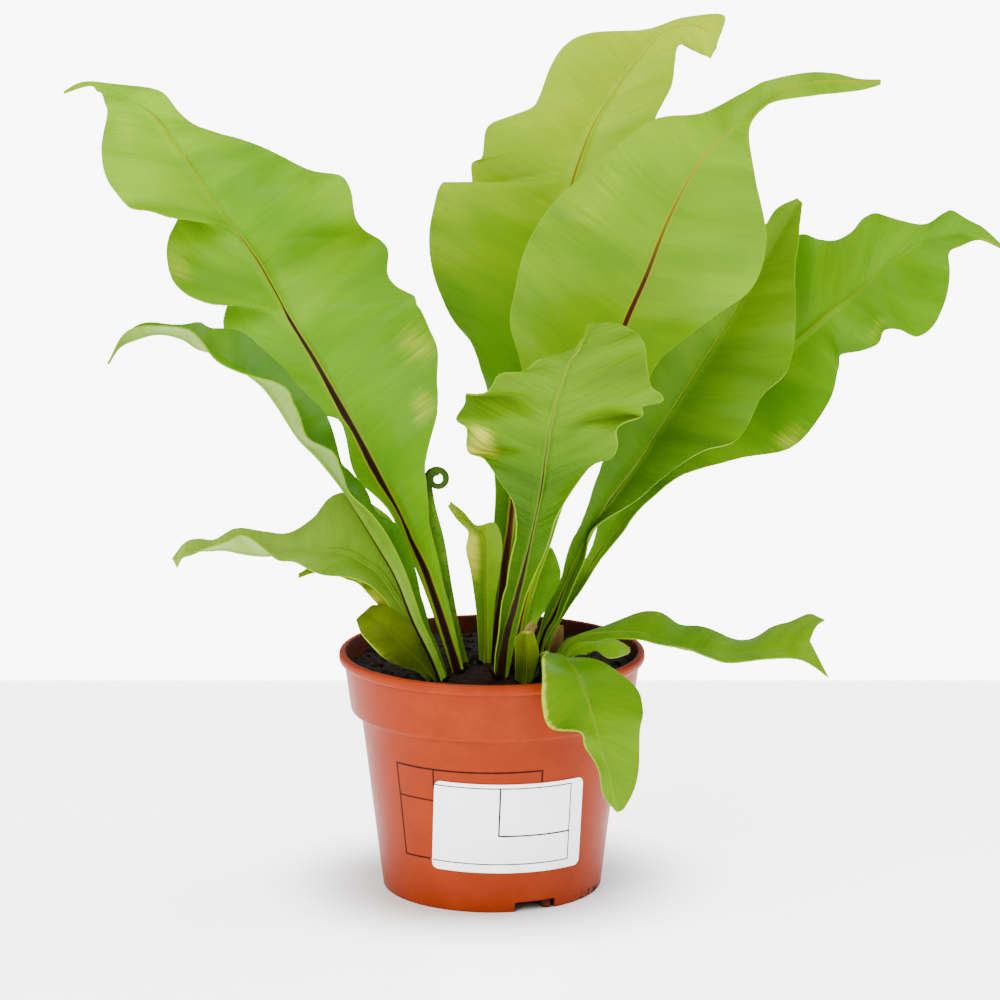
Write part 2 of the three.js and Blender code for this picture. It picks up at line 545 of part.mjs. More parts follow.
function makePot() {
  const profile = [
    [0, FLOOR_UNDERSIDE],
    [FOOT_RADIUS - FOOT_RING_WIDTH - 0.8, FLOOR_UNDERSIDE],
    [FOOT_RADIUS - FOOT_RING_WIDTH, 0],
    [FOOT_RADIUS, 0],
    [WAIST_RADIUS, WAIST_HEIGHT],
    [WAIST_RADIUS + 1.2, WAIST_HEIGHT + 1.3],
    [COLLAR_FOOT_RADIUS - 1.2, COLLAR_FOOT_HEIGHT - 0.4],
    [COLLAR_FOOT_RADIUS, COLLAR_FOOT_HEIGHT + 0.9],
    [COLLAR_TOP_RADIUS, POT_HEIGHT - BEAD_HEIGHT - 0.9],
    [RIM_RADIUS - 0.5, POT_HEIGHT - BEAD_HEIGHT - 0.3],
    [RIM_RADIUS, POT_HEIGHT - BEAD_HEIGHT + 0.5],
    [RIM_RADIUS, POT_HEIGHT - 1],
    [RIM_RADIUS - 0.8, POT_HEIGHT],
    [COLLAR_TOP_RADIUS - 0.2, POT_HEIGHT],
    [COLLAR_TOP_RADIUS - 0.9, POT_HEIGHT - 0.8],
    ...innerProfile(0).reverse(),
    [0, FLOOR_TOP],
  ];
  let pot = toSolid(turned(profile, POT_SIDES));
  for (let i = 0; i < DRAIN.count; i += 1) {
    const hole = upright(DRAIN.radius, FLOOR_UNDERSIDE - 2, FLOOR_TOP + 2, DRAIN_SIDES);
    const place = around(DRAIN.ring, NOTCH.angles[0] + i * 360 / DRAIN.count, 0);
    hole.translate(place.x, place.y, 0);
    pot = pot.subtract(toSolid(hole));
  }
  for (const degrees of NOTCH.angles) {
    const gap = new THREE.BoxGeometry(NOTCH.width, 12, NOTCH.height + 1);
    gap.translate(0, -FOOT_RADIUS, (NOTCH.height - 1) / 2);
    gap.rotateZ(radians(degrees));
    pot = pot.subtract(toSolid(gap));
  }
  return toGeometry(pot);
}

// The crown is a low scaly mound; the bowl that it sits in is the same shape, a little larger
function crownShape(extra) {
  const low = CROWN.foot - extra;
  const profile = [
    [0, low],
    [CROWN.radius * 0.45 + extra, low],
    [CROWN.radius * 0.82 + extra, low + 5],
    [CROWN.radius + extra, CROWN.shoulder - 6],
    [CROWN.radius + extra, CROWN.shoulder],
    [CROWN.radius * 0.85 + extra, CROWN.top - 2.4],
    [CROWN.radius * 0.5 + extra, CROWN.top - 0.8],
    [0, CROWN.top],
  ];
  const geometry = turned(profile, CROWN_SIDES);
  geometry.translate(CROWN.x, CROWN.y, 0);
  return toSolid(geometry);
}

function makeCrown(holes) {
  let crown = crownShape(0);
  for (const hole of holes) {
    crown = crown.subtract(hole);
  }
  return toGeometry(crown);
}

function makeCompost(holes) {
  const wall = innerProfile(FIT_GAP);
  const lastRing = wall[3];
  const rings = [0.86, 0.66, 0.4].map((share) => [lastRing[0] * share, COMPOST_LEVEL]);
  const profile = [
    [0, wall[0][1]],
    ...wall.slice(0, 3),
    [lastRing[0] - 0.6, COMPOST_LEVEL - 1],
    ...rings,
    [0, COMPOST_LEVEL],
  ];
  const geometry = turned(profile, COMPOST_SIDES);
  const place = geometry.attributes.position;
  for (let i = 0; i < place.count; i += 1) {
    const x = place.getX(i);
    const y = place.getY(i);
    if (place.getZ(i) > COMPOST_LEVEL - 0.1) {
      const bump = Math.sin(x * 0.31 + 1.3) * Math.cos(y * 0.37) + 0.6 * Math.sin(x * 0.83 - y * 0.71);
      place.setZ(i, COMPOST_LEVEL + COMPOST_ROUGHNESS * bump);
    }
  }
  let compost = toSolid(geometry).subtract(crownShape(FIT_GAP));
  for (const hole of holes) {
    compost = compost.subtract(hole);
  }
  return toGeometry(compost);
}

// A closed sheet from a grid of top and bottom points: faces of the two sides are split alike
function closedSheet(top, bottom) {
  const rows = top.length;
  const columns = top[0].length;
  const positions = [];
  for (const side of [top, bottom]) {
    for (const row of side) {
      for (const p of row) {
        positions.push(p.x, p.y, p.z);
      }
    }
  }
  const upper = (i, j) => i * columns + j;
  const lower = (i, j) => rows * columns + i * columns + j;
  const index = [];
  const quad = (a, b, c, d) => index.push(a, b, c, a, c, d);
  for (let i = 0; i < rows - 1; i += 1) {
    for (let j = 0; j < columns - 1; j += 1) {
      quad(upper(i, j), upper(i, j + 1), upper(i + 1, j + 1), upper(i + 1, j));
      index.push(lower(i, j), lower(i + 1, j + 1), lower(i, j + 1));
      index.push(lower(i, j), lower(i + 1, j), lower(i + 1, j + 1));
    }
  }
  for (let i = 0; i < rows - 1; i += 1) {
    quad(upper(i, 0), upper(i + 1, 0), lower(i + 1, 0), lower(i, 0));
    quad(upper(i, columns - 1), lower(i, columns - 1), lower(i + 1, columns - 1), upper(i + 1, columns - 1));
  }
  for (let j = 0; j < columns - 1; j += 1) {
    quad(upper(0, j), lower(0, j), lower(0, j + 1), upper(0, j + 1));
    quad(upper(rows - 1, j), upper(rows - 1, j + 1), lower(rows - 1, j + 1), lower(rows - 1, j));
  }
  const geometry = new THREE.BufferGeometry();
  geometry.setAttribute('position', new THREE.Float32BufferAttribute(positions, 3));
  geometry.setIndex(index);
  geometry.computeVertexNormals();
  return geometry;
}

function makeLabel() {
  const columns = LABEL.columns;
  const halfWidth = LABEL.width / 2;
  const halfHeight = LABEL.height / 2;
  const inner = halfWidth - LABEL.corner;
  const sheets = [FIT_GAP + LABEL.thickness, FIT_GAP].map((lift) => {
    const rows = [];
    for (const share of [-1, 0, 1]) {
      const row = [];
      for (let j = 0; j <= columns; j += 1) {
        const across = -halfWidth * Math.cos(Math.PI * j / columns);
        const past = THREE.MathUtils.clamp(Math.abs(across) - inner, 0, LABEL.corner);
        const cut = LABEL.corner - Math.sqrt(LABEL.corner ** 2 - past ** 2);
        const up = share * (halfHeight - cut);
        const turn = radians(LABEL.tilt);
        const height = LABEL.middleHeight + up * Math.cos(turn) + across * Math.sin(turn);
        const along = across * Math.cos(turn) - up * Math.sin(turn);
        const radius = lowerWallRadius(height) + lift;
        const degrees = THREE.MathUtils.radToDeg(along / lowerWallRadius(height));
        row.push(around(radius, LABEL.angle + degrees, height));
      }
      rows.push(row);
    }
    return rows;
  });
  return closedSheet(sheets[0], sheets[1]);
}

// The three rails of a frond as smooth curves through its stations
function railsOf(rows) {
  return [0, 1, 2].map((k) => {
    const places = rows.map((row) => point(row[k]));
    return new THREE.CatmullRomCurve3(places, false, 'catmullrom', 0.5);
  });
}

// A point of a frond's middle surface: t runs from root to tip, s from the left margin, -1, to the right, 1
function frondPoint(frond, rails, t, s) {
  const rib = rails[0].getPoint(t);
  const margin = rails[s < 0 ? 1 : 2].getPoint(t);
  const side = Math.abs(s);
  const reach = margin.clone().sub(rib);
  const width = reach.length();
  const along = rails[0].getTangent(t);
  const out = new THREE.Vector3().crossVectors(reach, along).multiplyScalar(s < 0 ? -1 : 1).normalize();
  const spread = Math.min(1, width / 20);
  const phase = s < 0 ? 0 : 2;
  const ripple = frond.swing * spread * side ** 2 * Math.sin(2 * Math.PI * frond.waves * t + phase);
  const bulge = frond.arch * width * Math.sin(Math.PI * side);
  return rib.addScaledVector(reach, side).addScaledVector(out, ripple + bulge);
}

function makeFrond(frond) {
  const rails = railsOf(frond.rows);
  const rows = [];
  const halves = [];
  for (let i = 0; i <= frond.steps; i += 1) {
    const t = i / frond.steps;
    const ribRadius = frond.rib * (1 - 0.62 * t);
    const ribPoint = rails[0].getPoint(t);
    const widths = [1, 2].map((k) => rails[k].getPoint(t).distanceTo(ribPoint));
    const row = [];
    const half = [];
    for (const s of [-1, -0.66, -0.34, 'left', 0, 'right', 0.34, 0.66, 1]) {
      const width = widths[s === 'left' || s < 0 ? 0 : 1];
      const ribShare = Math.min(0.22, ribRadius / width);
      const share = s === 'left' ? -ribShare : s === 'right' ? ribShare : s;
      const off = Math.min(1, Math.abs(share) * width / (ribRadius * 1.35));
      row.push(frondPoint(frond, rails, t, share));
      half.push(Math.max(BLADE / 2, ribRadius * 0.8 * Math.sqrt(1 - off ** 2)));
    }
    rows.push(row);
    halves.push(half);
  }
  const normals = gridNormals(rows);
  const offset = (lift) => rows.map((row, i) => row.map((p, j) => {
    return p.clone().addScaledVector(normals[i][j], lift(halves[i][j]));
  }));
  const top = offset((half) => BLADE / 2 + (half - BLADE / 2) * RIB_TOP_SHARE);
  const bottom = offset((half) => -half);
  return closedSheet(top, bottom);
}

// Normals of a grid of points, from the steps to each point's neighbours
function gridNormals(rows) {
  return rows.map((row, i) => row.map((p, j) => {
    const before = rows[Math.max(0, i - 1)][j];
    const after = rows[Math.min(rows.length - 1, i + 1)][j];
    const left = row[Math.max(0, j - 1)];
    const right = row[Math.min(row.length - 1, j + 1)];
    const across = right.clone().sub(p).normalize().add(p.clone().sub(left).normalize());
    return across.cross(after.clone().sub(before)).normalize();
  }));
}

// A plain round hole in the crown for a frond's root, along the frond's own first stretch
function rootHole(frond) {
  const [from, to] = [point(frond.rows[0][0]), point(frond.rows[1][0])];
  const along = to.clone().sub(from).normalize();
  const start = from.clone().addScaledVector(along, -HOLE_DEPTH_BELOW_ROOT);
  const length = (HOLE_TOP - start.z) / along.z;
  const edge = point(frond.rows[0][1]).distanceTo(from);
  const edgeAtTop = point(frond.rows[1][1]).distanceTo(to);
  const radius = Math.max(frond.rib, edge, (edge + edgeAtTop) / 2) + HOLE_CLEARANCE;
  const hole = new THREE.CylinderGeometry(radius, radius, length, HOLE_SIDES);
  hole.translate(0, length / 2, 0);
  const turn = new THREE.Quaternion().setFromUnitVectors(new THREE.Vector3(0, 1, 0), along);
  hole.applyQuaternion(turn);
  hole.translate(start.x, start.y, start.z);
  return toSolid(hole);
}

function makeCrozier() {
  const stem = new THREE.CatmullRomCurve3(CROZIER.stem.map(point));
  const neck = stem.getPoint(1);
  const centre = neck.clone().add(new THREE.Vector3(CROZIER.coilRadius, 0, 0));
  const rings = [];
  const stemSteps = Math.round(CROZIER.steps * 0.45);
  for (let i = 0; i <= CROZIER.steps; i += 1) {
    const onStem = i <= stemSteps;
    const u = onStem ? i / stemSteps : (i - stemSteps) / (CROZIER.steps - stemSteps);
    const turn = -Math.PI * 2 * CROZIER.turns * u;
    const reach = CROZIER.coilRadius + (CROZIER.coilEndRadius - CROZIER.coilRadius) * u;
    const middle = onStem
      ? stem.getPoint(u)
      : centre.clone().add(new THREE.Vector3(-reach * Math.cos(turn), 0, -reach * Math.sin(turn)));
    const radius = onStem
      ? CROZIER.rootRadius + (CROZIER.neckRadius - CROZIER.rootRadius) * u
      : CROZIER.neckRadius + (CROZIER.tipRadius - CROZIER.neckRadius) * u;
    const swell = onStem ? CROZIER.swell * Math.sin(Math.PI * u) : 0;
    rings.push({ middle, radius, wide: radius + swell });
  }
  const flatOut = new THREE.Vector3(0, 1, 0);
  const sections = rings.map(({ middle, radius, wide }, i) => {
    const before = rings[Math.max(0, i - 1)].middle;
    const after = rings[Math.min(rings.length - 1, i + 1)].middle;
    const along = after.clone().sub(before).normalize();
    const side = new THREE.Vector3().crossVectors(along, flatOut).normalize();
    const back = new THREE.Vector3().crossVectors(side, along).normalize();
    return Array.from({ length: CROZIER.sides }, (_, k) => {
      const angle = 2 * Math.PI * k / CROZIER.sides;
      return middle.clone()
        .addScaledVector(side, wide * Math.cos(angle))
        .addScaledVector(back, radius * Math.sin(angle));
    });
  });
  return closedTube(sections);
}

// A closed tube through rings of points, capped flat at both ends
function closedTube(sections) {
  const sides = sections[0].length;
  const positions = sections.flat().flatMap((p) => [p.x, p.y, p.z]);
  const index = [];
  for (let i = 0; i < sections.length - 1; i += 1) {
    for (let k = 0; k < sides; k += 1) {
      const a = i * sides + k;
      const b = i * sides + (k + 1) % sides;
      index.push(a, b + sides, b, a, a + sides, b + sides);
    }
  }
  const last = (sections.length - 1) * sides;
  for (let k = 1; k < sides - 1; k += 1) {
    index.push(0, k, k + 1);
    index.push(last, last + k + 1, last + k);
  }
  const geometry = new THREE.BufferGeometry();
  geometry.setAttribute('position', new THREE.Float32BufferAttribute(positions, 3));
  geometry.setIndex(index);
  geometry.computeVertexNormals();
  return geometry;
}

const crozierRows = CROZIER.stem.map((place) => [place, place, place]);
const crozierRoot = { rows: crozierRows, rib: CROZIER.rootRadius };
const rootHoles = [...FRONDS, crozierRoot].map(rootHole);

const plant = new THREE.Group();

function add(name, geometry, tone, roughness) {
  const material = new THREE.MeshStandardMaterial({ color: COLOURS[tone], roughness, metalness: 0 });
  const mesh = new THREE.Mesh(geometry, material);
  mesh.name = name;
  plant.add(mesh);
}

add('pot', makePot(), 'pot', 0.5);
add('compost', makeCompost(rootHoles), 'compost', 0.95);
add('crown', makeCrown(rootHoles), 'crown', 0.9);
add('label', makeLabel(), 'label', 0.6);
for (const frond of FRONDS) {
  add(frond.name, makeFrond(frond), frond.tone, 0.45);
}
add('frond_crozier', makeCrozier(), 'green', 0.5);

const box = new THREE.Box3().setFromObject(plant);
plant.position.set(-(box.min.x + box.max.x) / 2, -(box.min.y + box.max.y) / 2, -box.min.z);
plant.updateMatrixWorld(true);

export default plant;
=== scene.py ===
import math
import random

import bpy
from mathutils import Matrix, Vector


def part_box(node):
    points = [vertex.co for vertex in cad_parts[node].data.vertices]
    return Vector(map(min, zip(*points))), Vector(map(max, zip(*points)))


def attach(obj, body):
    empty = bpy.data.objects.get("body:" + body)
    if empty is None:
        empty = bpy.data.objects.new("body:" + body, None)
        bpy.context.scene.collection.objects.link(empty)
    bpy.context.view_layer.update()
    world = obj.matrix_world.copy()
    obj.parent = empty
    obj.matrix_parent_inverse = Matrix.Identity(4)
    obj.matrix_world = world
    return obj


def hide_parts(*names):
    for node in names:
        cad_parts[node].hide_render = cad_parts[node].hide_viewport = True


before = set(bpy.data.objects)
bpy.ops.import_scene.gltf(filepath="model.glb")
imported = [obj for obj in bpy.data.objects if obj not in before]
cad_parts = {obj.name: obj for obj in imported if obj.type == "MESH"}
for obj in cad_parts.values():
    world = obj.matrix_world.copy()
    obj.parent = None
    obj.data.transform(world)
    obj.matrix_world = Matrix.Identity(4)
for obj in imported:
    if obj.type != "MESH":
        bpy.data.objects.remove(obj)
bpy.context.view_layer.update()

# Sizes in millimetres round the pot's axis, as in the part's source: x right, y away, z up from the foot
MM = 0.001
pot_low, pot_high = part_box("pot")
POT_X = (pot_low[0] + pot_high[0]) / 2
POT_Y = (pot_low[1] + pot_high[1]) / 2

RIM_RADIUS = 60
POT_HEIGHT = 94.5
BEAD_HEIGHT = 3.6
COLLAR_TOP_RADIUS = 57.9
COLLAR_FOOT_RADIUS = 55.5
COLLAR_FOOT_HEIGHT = 71.4
WAIST_RADIUS = 51.4
WAIST_HEIGHT = 69.2
FOOT_RADIUS = 43.1
FOOT_RING_WIDTH = 3.4
FLOOR_UNDERSIDE = 3.4
FLOOR_TOP = 5
WALL = 1.3
NOTCH_WIDTH = 17
NOTCH_HEIGHT = 4
NOTCH_ANGLES = (23, 203)
DRAIN_RADIUS = 4.2
DRAIN_RING = 33
DRAIN_COUNT = 6
DRAIN_DEPTH = 8
NOTCH_SPARE = 4
NOTCH_REACH = 14
POST_RADIUS = 2.4
POST_HEIGHT = 3.9
POST_MIDDLE = 2.15
POST_INSET = 2.9
POST_TURN = 3.4
POT_SIDES = 160

COMPOST_LEVEL = 88
CROWN_X = 0
CROWN_Y = -17
CROWN_RADIUS = 27
CROWN_TOP = 91

LABEL_WIDTH = 61.6
LABEL_HEIGHT = 36.4
LABEL_CORNER = 2.6
LABEL_MIDDLE = 34.8
LABEL_ANGLE = 9
LABEL_TILT = -1.1

BLADE = 0.6
RIB_HEIGHT = 0.8

# Each row is one station of a frond, from its root to its tip: [midrib, left margin, right margin]
LEFT_TALL = [
  [[-11, -21, 81], [-13, -21, 81], [-9, -21, 81]],
  [[-16, -19, 100], [-18, -20, 99], [-13, -20, 101]],
  [[-25, -14, 127], [-28, -16, 127], [-20, -17, 130]],
  [[-31, -10, 139], [-34, -13, 140], [-23, -16, 143]],
  [[-37, -5, 151], [-41, -9, 154], [-25, -14, 158]],
  [[-45, 1, 165], [-53, -3, 164], [-25, -11, 172]],
  [[-51.2, 5.6, 175.8], [-57, 6, 178], [-22, -5, 187]],
  [[-56.5, 9.6, 185.1], [-60, 10, 184], [-21, -1, 195]],
  [[-61.2, 13, 193.1], [-68, 14, 186], [-21, 3, 203]],
  [[-65.6, 16, 200.5], [-77.2, 18, 194], [-21, 8, 212]],
  [[-69.9, 18.8, 207.4], [-83.5, 20, 201.6], [-24, 12, 219]],
  [[-73.8, 21.1, 213.3], [-96, 27, 212], [-27, 13, 226]],
  [[-76.8, 22.8, 217.9], [-106, 31, 217], [-29, 13, 229]],
  [[-79.3, 24.1, 221.8], [-104, 35, 229], [-30, 14, 232]],
  [[-81.9, 25.6, 226.1], [-106, 17, 228], [-33, 18, 233]],
  [[-84.7, 27.4, 231.2], [-118, 20, 231], [-38, 24, 235]],
  [[-87.9, 29.3, 236.7], [-125, 28, 236], [-41, 30, 239]],
  [[-90.9, 31.1, 241.6], [-128, 37, 242], [-41, 42, 246]],
  [[-93.7, 32.6, 245.7], [-128, 44, 250], [-45, 44, 251]],
  [[-96, 33.7, 249], [-125, 49, 257], [-50, 41, 254]],
  [[-98.2, 34.7, 252.1], [-122, 51, 263], [-53, 34, 259]],
  [[-100.8, 35.9, 255.5], [-124, 30, 260], [-54, 30, 265]],
  [[-104.5, 37.3, 260.1], [-134, 32, 263], [-55, 29, 271]],
  [[-109.2, 39.1, 266.2], [-142, 36, 264], [-59, 32, 277]],
  [[-114.7, 41.1, 273.5], [-147, 40, 268], [-70.6, 38, 278.1]],
  [[-120.7, 43.3, 281.5], [-152, 43, 275], [-82.2, 42, 283.2]],
  [[-126.6, 45.7, 289.3], [-154, 46, 284], [-96, 46, 289]],
  [[-132, 48, 297], [-153, 49, 293], [-109, 49, 292]],
  [[-138, 50, 302], [-152, 51, 300], [-121, 48, 298]],
  [[-144, 51, 305], [-153, 52, 304], [-129, 48, 308]],
  [[-150, 52, 308], [-154, 53, 307], [-138, 50, 310]],
  [[-154, 53, 309], [-156, 53, 308], [-149, 52, 311]],
  [[-158, 53, 311], [-158, 53, 310], [-158, 53, 312]],
  [[-163, 53, 310], [-163, 53, 309], [-164, 53, 311]],
  [[-169, 52, 307], [-169, 52, 307], [-169, 52, 308]],
]

LEFT_CURLED = [
  [[-16, -27, 81], [-15, -29, 81], [-15, -25, 81]],
  [[-23, -27, 98], [-21, -29, 99], [-20, -25, 99]],
  [[-30, -27, 113], [-27, -30, 114], [-26, -24, 114]],
  [[-36, -26, 129], [-33, -31, 132], [-30, -22, 133]],
  [[-44, -25, 143], [-40, -31, 146], [-36, -20, 148]],
  [[-50, -24, 153], [-46, -32, 156], [-45, -17, 153]],
  [[-55, -23, 161], [-55, -31, 164], [-49, -14, 161]],
  [[-61, -22, 169], [-58, -32, 173], [-54, -12, 168]],
  [[-67, -21, 176], [-60, -32, 180], [-59, -10, 172]],
  [[-74, -20, 183], [-71, -32, 185], [-62, -9, 184]],
  [[-81, -19, 194], [-74, -31, 196], [-64, -8, 191]],
  [[-87, -18, 202], [-77, -30, 203], [-75, -8, 200]],
  [[-93, -18, 207], [-86, -28, 206], [-81, -6, 208]],
  [[-99, -18, 211], [-96, -25, 209], [-90, -4, 217]],
  [[-105, -18, 215], [-105, -26, 214], [-98, -4, 221]],
  [[-112, -18, 217], [-110, -28, 221], [-107, -8, 223]],
  [[-118, -19, 221], [-115, -28, 226], [-112, -10, 226]],
  [[-127, -20, 223], [-126, -26, 227], [-120, -15, 225]],
  [[-136, -22, 221], [-135, -26, 226], [-132, -18, 227]],
  [[-142, -23, 218], [-141, -25, 222], [-139, -20, 223]],
  [[-146, -24, 212], [-146, -25, 212], [-146, -23, 212]],
]

LEFT_LOW = [
  [[-18, -18, 81], [-19, -19, 81], [-17, -17, 81]],
  [[-25, -20, 97], [-27, -22, 96], [-22, -17, 97]],
  [[-30, -21, 109], [-34, -25, 109], [-25, -16, 111]],
  [[-37, -22, 120], [-41, -28, 121], [-30, -14, 125]],
  [[-43, -24, 130], [-48, -33, 128], [-33, -15, 136]],
  [[-50, -27, 136], [-56, -38, 132], [-36, -16, 145]],
  [[-56, -30, 140], [-64, -42, 134], [-41, -14, 151]],
  [[-64, -33, 141], [-71, -45, 137], [-54, -12, 159]],
  [[-71, -36, 142], [-76, -47, 140], [-62, -17, 159]],
  [[-78, -38, 142], [-81, -50, 142], [-69, -23, 151]],
  [[-85, -40, 141], [-87, -52, 147], [-77, -29, 147]],
  [[-93, -42, 142], [-94, -52, 151], [-86, -34, 149]],
  [[-101, -44, 144], [-100, -51, 149], [-97, -38, 151]],
  [[-107, -45, 144], [-107, -50, 146], [-105, -41, 147]],
  [[-113, -46, 144], [-113, -49, 143], [-111, -43, 148]],
  [[-117, -47, 144], [-117, -50, 142], [-116, -45, 147]],
  [[-120, -48, 140], [-119, -49, 138], [-121, -47, 141]],
]

LEFT_INNER = [
  [[-19, -25, 81], [-20, -26, 81], [-18, -24, 81]],
  [[-25, -26, 92], [-27, -28, 91], [-24, -25, 94]],
  [[-30, -28, 98], [-34, -32, 95], [-27, -26, 101]],
  [[-35, -31, 104], [-41, -38, 100], [-30, -27, 109]],
  [[-40, -33, 110], [-46, -42, 106], [-35, -27, 114]],
  [[-44, -33, 114], [-50, -40, 111], [-40, -27, 118]],
  [[-49, -29, 116], [-52, -33, 114], [-46, -26, 118]],
]

LEFT_YELLOW = [
  [[-20, -12, 81], [-21, -13, 81], [-19, -11, 81]],
  [[-25, -14, 97], [-28, -16, 96], [-24, -11, 98]],
  [[-31, -17, 109], [-35, -20, 110], [-28, -11, 112]],
  [[-37, -19, 118], [-43, -24, 117], [-33, -10, 120]],
  [[-42, -21, 123], [-48, -27, 124], [-36, -10, 126]],
  [[-48, -23, 127], [-51, -25, 126], [-43, -11, 130]],
  [[-53, -25, 130], [-55, -29, 129], [-49, -13, 133]],
  [[-59, -27, 133], [-61, -29, 131], [-57, -17, 135]],
  [[-67, -29, 134], [-68, -31, 132], [-65, -23, 135]],
  [[-74, -30, 131], [-74, -31, 130], [-74, -29, 131]],
]

YELLOWING = [
  [[-3, -8, 81], [-5, -8, 81], [-1, -8, 81]],
  [[-2, -7, 98], [-5, -9, 96], [0, -8, 98]],
  [[-2, -7, 113], [-6, -10, 112], [1, -9, 114]],
  [[-2, -6, 126], [-8, -10, 127], [3, -9, 127]],
  [[-2, -5, 137], [-10, -10, 136], [4, -7, 139]],
  [[-4, -5, 142], [-9, -9, 142], [1, -4, 146]],
  [[-7, -7, 144], [-10, -10, 145], [-6, -5, 145]],
  [[-12, -9, 150], [-14, -10, 149], [-11, -8, 151]],
  [[-16, -12, 155], [-17, -12, 154], [-16, -12, 156]],
]

BACK_TALL = [
  [[2, -4, 81], [0, -4, 81], [4, -4, 81]],
  [[2, -3, 99], [0, -4, 99], [4, -4, 99]],
  [[4, 0, 115], [0, -3, 115], [7, -3, 115]],
  [[5, 4, 127], [0, 0, 128], [10, 0, 128]],
  [[7, 9, 140], [1, 4, 143], [13, 4, 140]],
  [[9, 16, 159], [1, 10, 162], [17, 9, 157]],
  [[12, 24, 177], [-1, 18, 188], [27, 14, 175]],
  [[16, 32, 200], [-7, 28, 209], [37, 22, 194]],
  [[19, 39, 219], [-16, 34, 221], [47, 30, 210]],
  [[22.6, 44.4, 234.5], [-23, 40, 236], [55, 37, 227]],
  [[25.9, 49.1, 248.7], [-25, 45, 251], [61, 43, 242]],
  [[28.9, 52.8, 260.8], [-23, 46, 263], [65, 49, 255]],
  [[31.4, 55.3, 269.9], [-19, 45, 273], [65, 52, 264]],
  [[33.4, 57, 276.1], [-9, 61, 265], [65, 53, 270]],
  [[34.9, 58.3, 280.4], [-8, 63, 271], [65, 54, 274]],
  [[36.4, 59.7, 284.2], [-8, 63, 278], [65, 56, 280]],
  [[37.9, 60.9, 288.1], [-4, 61, 281], [64, 57, 285]],
  [[39.8, 62, 292.2], [-2, 60, 293], [63, 57, 291]],
  [[42, 63, 296.3], [7, 63, 297], [65, 58, 297]],
  [[44.8, 64, 300.7], [16, 66, 300], [68, 59, 303]],
  [[48.1, 64.9, 305.6], [19, 67, 305], [71, 60, 309]],
  [[51.9, 65.5, 310.9], [23, 66, 316], [72, 60, 316]],
  [[56.2, 65.6, 316.7], [29, 66, 325], [73, 60, 320]],
  [[61.6, 65.1, 323.1], [39, 66, 330], [73, 59, 324]],
  [[68, 64, 330], [61, 67, 331], [75, 56, 326]],
  [[77, 60, 333], [76, 64, 336], [81, 54, 323]],
  [[84, 55, 332], [91, 57, 338], [84, 51, 322]],
  [[88, 50, 325], [90, 51, 331], [86, 49, 321]],
]

CENTRE_LIME = [
  [[6, -20, 81], [4, -20, 81], [8, -20, 81]],
  [[8, -21, 97], [6, -22, 97], [10, -22, 97]],
  [[9, -21, 105], [7, -23, 106], [12, -23, 105]],
  [[13, -21, 120], [10, -24, 122], [15, -24, 119]],
  [[19, -22, 141], [14, -26, 144], [22, -25, 140]],
  [[27, -24, 168], [17, -27, 171], [31, -27, 167]],
  [[34, -26, 185], [14, -28, 192], [42, -29, 184]],
  [[40, -28, 199], [11, -27, 212], [55, -33, 199]],
  [[46, -30, 214], [7, -26, 227], [62, -35, 213]],
  [[51, -32, 230], [9, -28, 241], [70, -34, 221]],
  [[58, -34, 247], [13, -32, 258], [84, -28, 230]],
  [[65, -36, 266], [23, -32, 274], [99, -30, 243]],
  [[72, -37, 281], [38, -34, 288], [103, -34, 262]],
  [[80, -38, 294], [59, -38, 306], [99, -40, 282]],
  [[88, -39, 301], [79, -37, 309], [96, -45, 295]],
  [[95, -40, 307], [93, -35, 316], [95, -46, 304]],
  [[100, -40, 311], [98, -36, 319], [99, -46, 310]],
  [[105, -41, 315], [103, -38, 321], [106, -45, 314]],
  [[117, -42, 320], [117, -40, 324], [118, -45, 316]],
  [[128, -43, 321], [127, -42, 324], [128, -45, 317]],
  [[136, -44, 321], [136, -43, 322], [137, -45, 318]],
  [[144, -45, 321], [144, -45, 322], [144, -45, 320]],
]

FRONT_MIDDLE = [
  [[2, -29, 81], [4, -29, 81], [0, -29, 81]],
  [[5, -30, 105], [9, -33, 106], [2, -33, 106]],
  [[9, -32, 119], [12, -36, 120], [4, -36, 121]],
  [[13, -36, 138], [19, -41, 140], [7, -41, 137]],
  [[17, -42, 158], [26, -49, 160], [9, -48, 160]],
  [[19, -47, 171], [36.1, -54, 176.6], [3, -54, 172]],
  [[20, -51, 181], [45, -58, 182], [-3, -58, 182]],
  [[21, -53, 187], [47.5, -60, 188.8], [-9, -57, 184]],
  [[21, -55, 191], [47, -64, 195], [-9, -62, 193]],
  [[22, -57, 195], [56, -60, 198], [-13.1, -67, 198.1]],
  [[23, -59, 200], [56, -66, 203], [-10, -61, 203]],
  [[24, -60, 204], [63, -73, 206], [-9, -57, 207]],
  [[25.1, -62, 208.1], [59.3, -70, 211.8], [-1.3, -64, 208.1]],
  [[26.9, -64, 214.1], [57.5, -67, 218.7], [3.2, -69, 214.6]],
  [[29, -66, 220.1], [56.5, -72, 225.2], [12, -66, 217.1]],
  [[31.2, -67, 224.3], [56.1, -73, 228.3], [18.3, -68, 221.1]],
  [[33.4, -67, 227.7], [53.8, -73, 231.3], [26.4, -66, 219.3]],
  [[36.4, -67, 231.1], [49.5, -71, 233.6], [32.3, -68, 224.5]],
  [[40, -67, 234.4], [44.8, -68, 235], [35.2, -67, 234]],
]

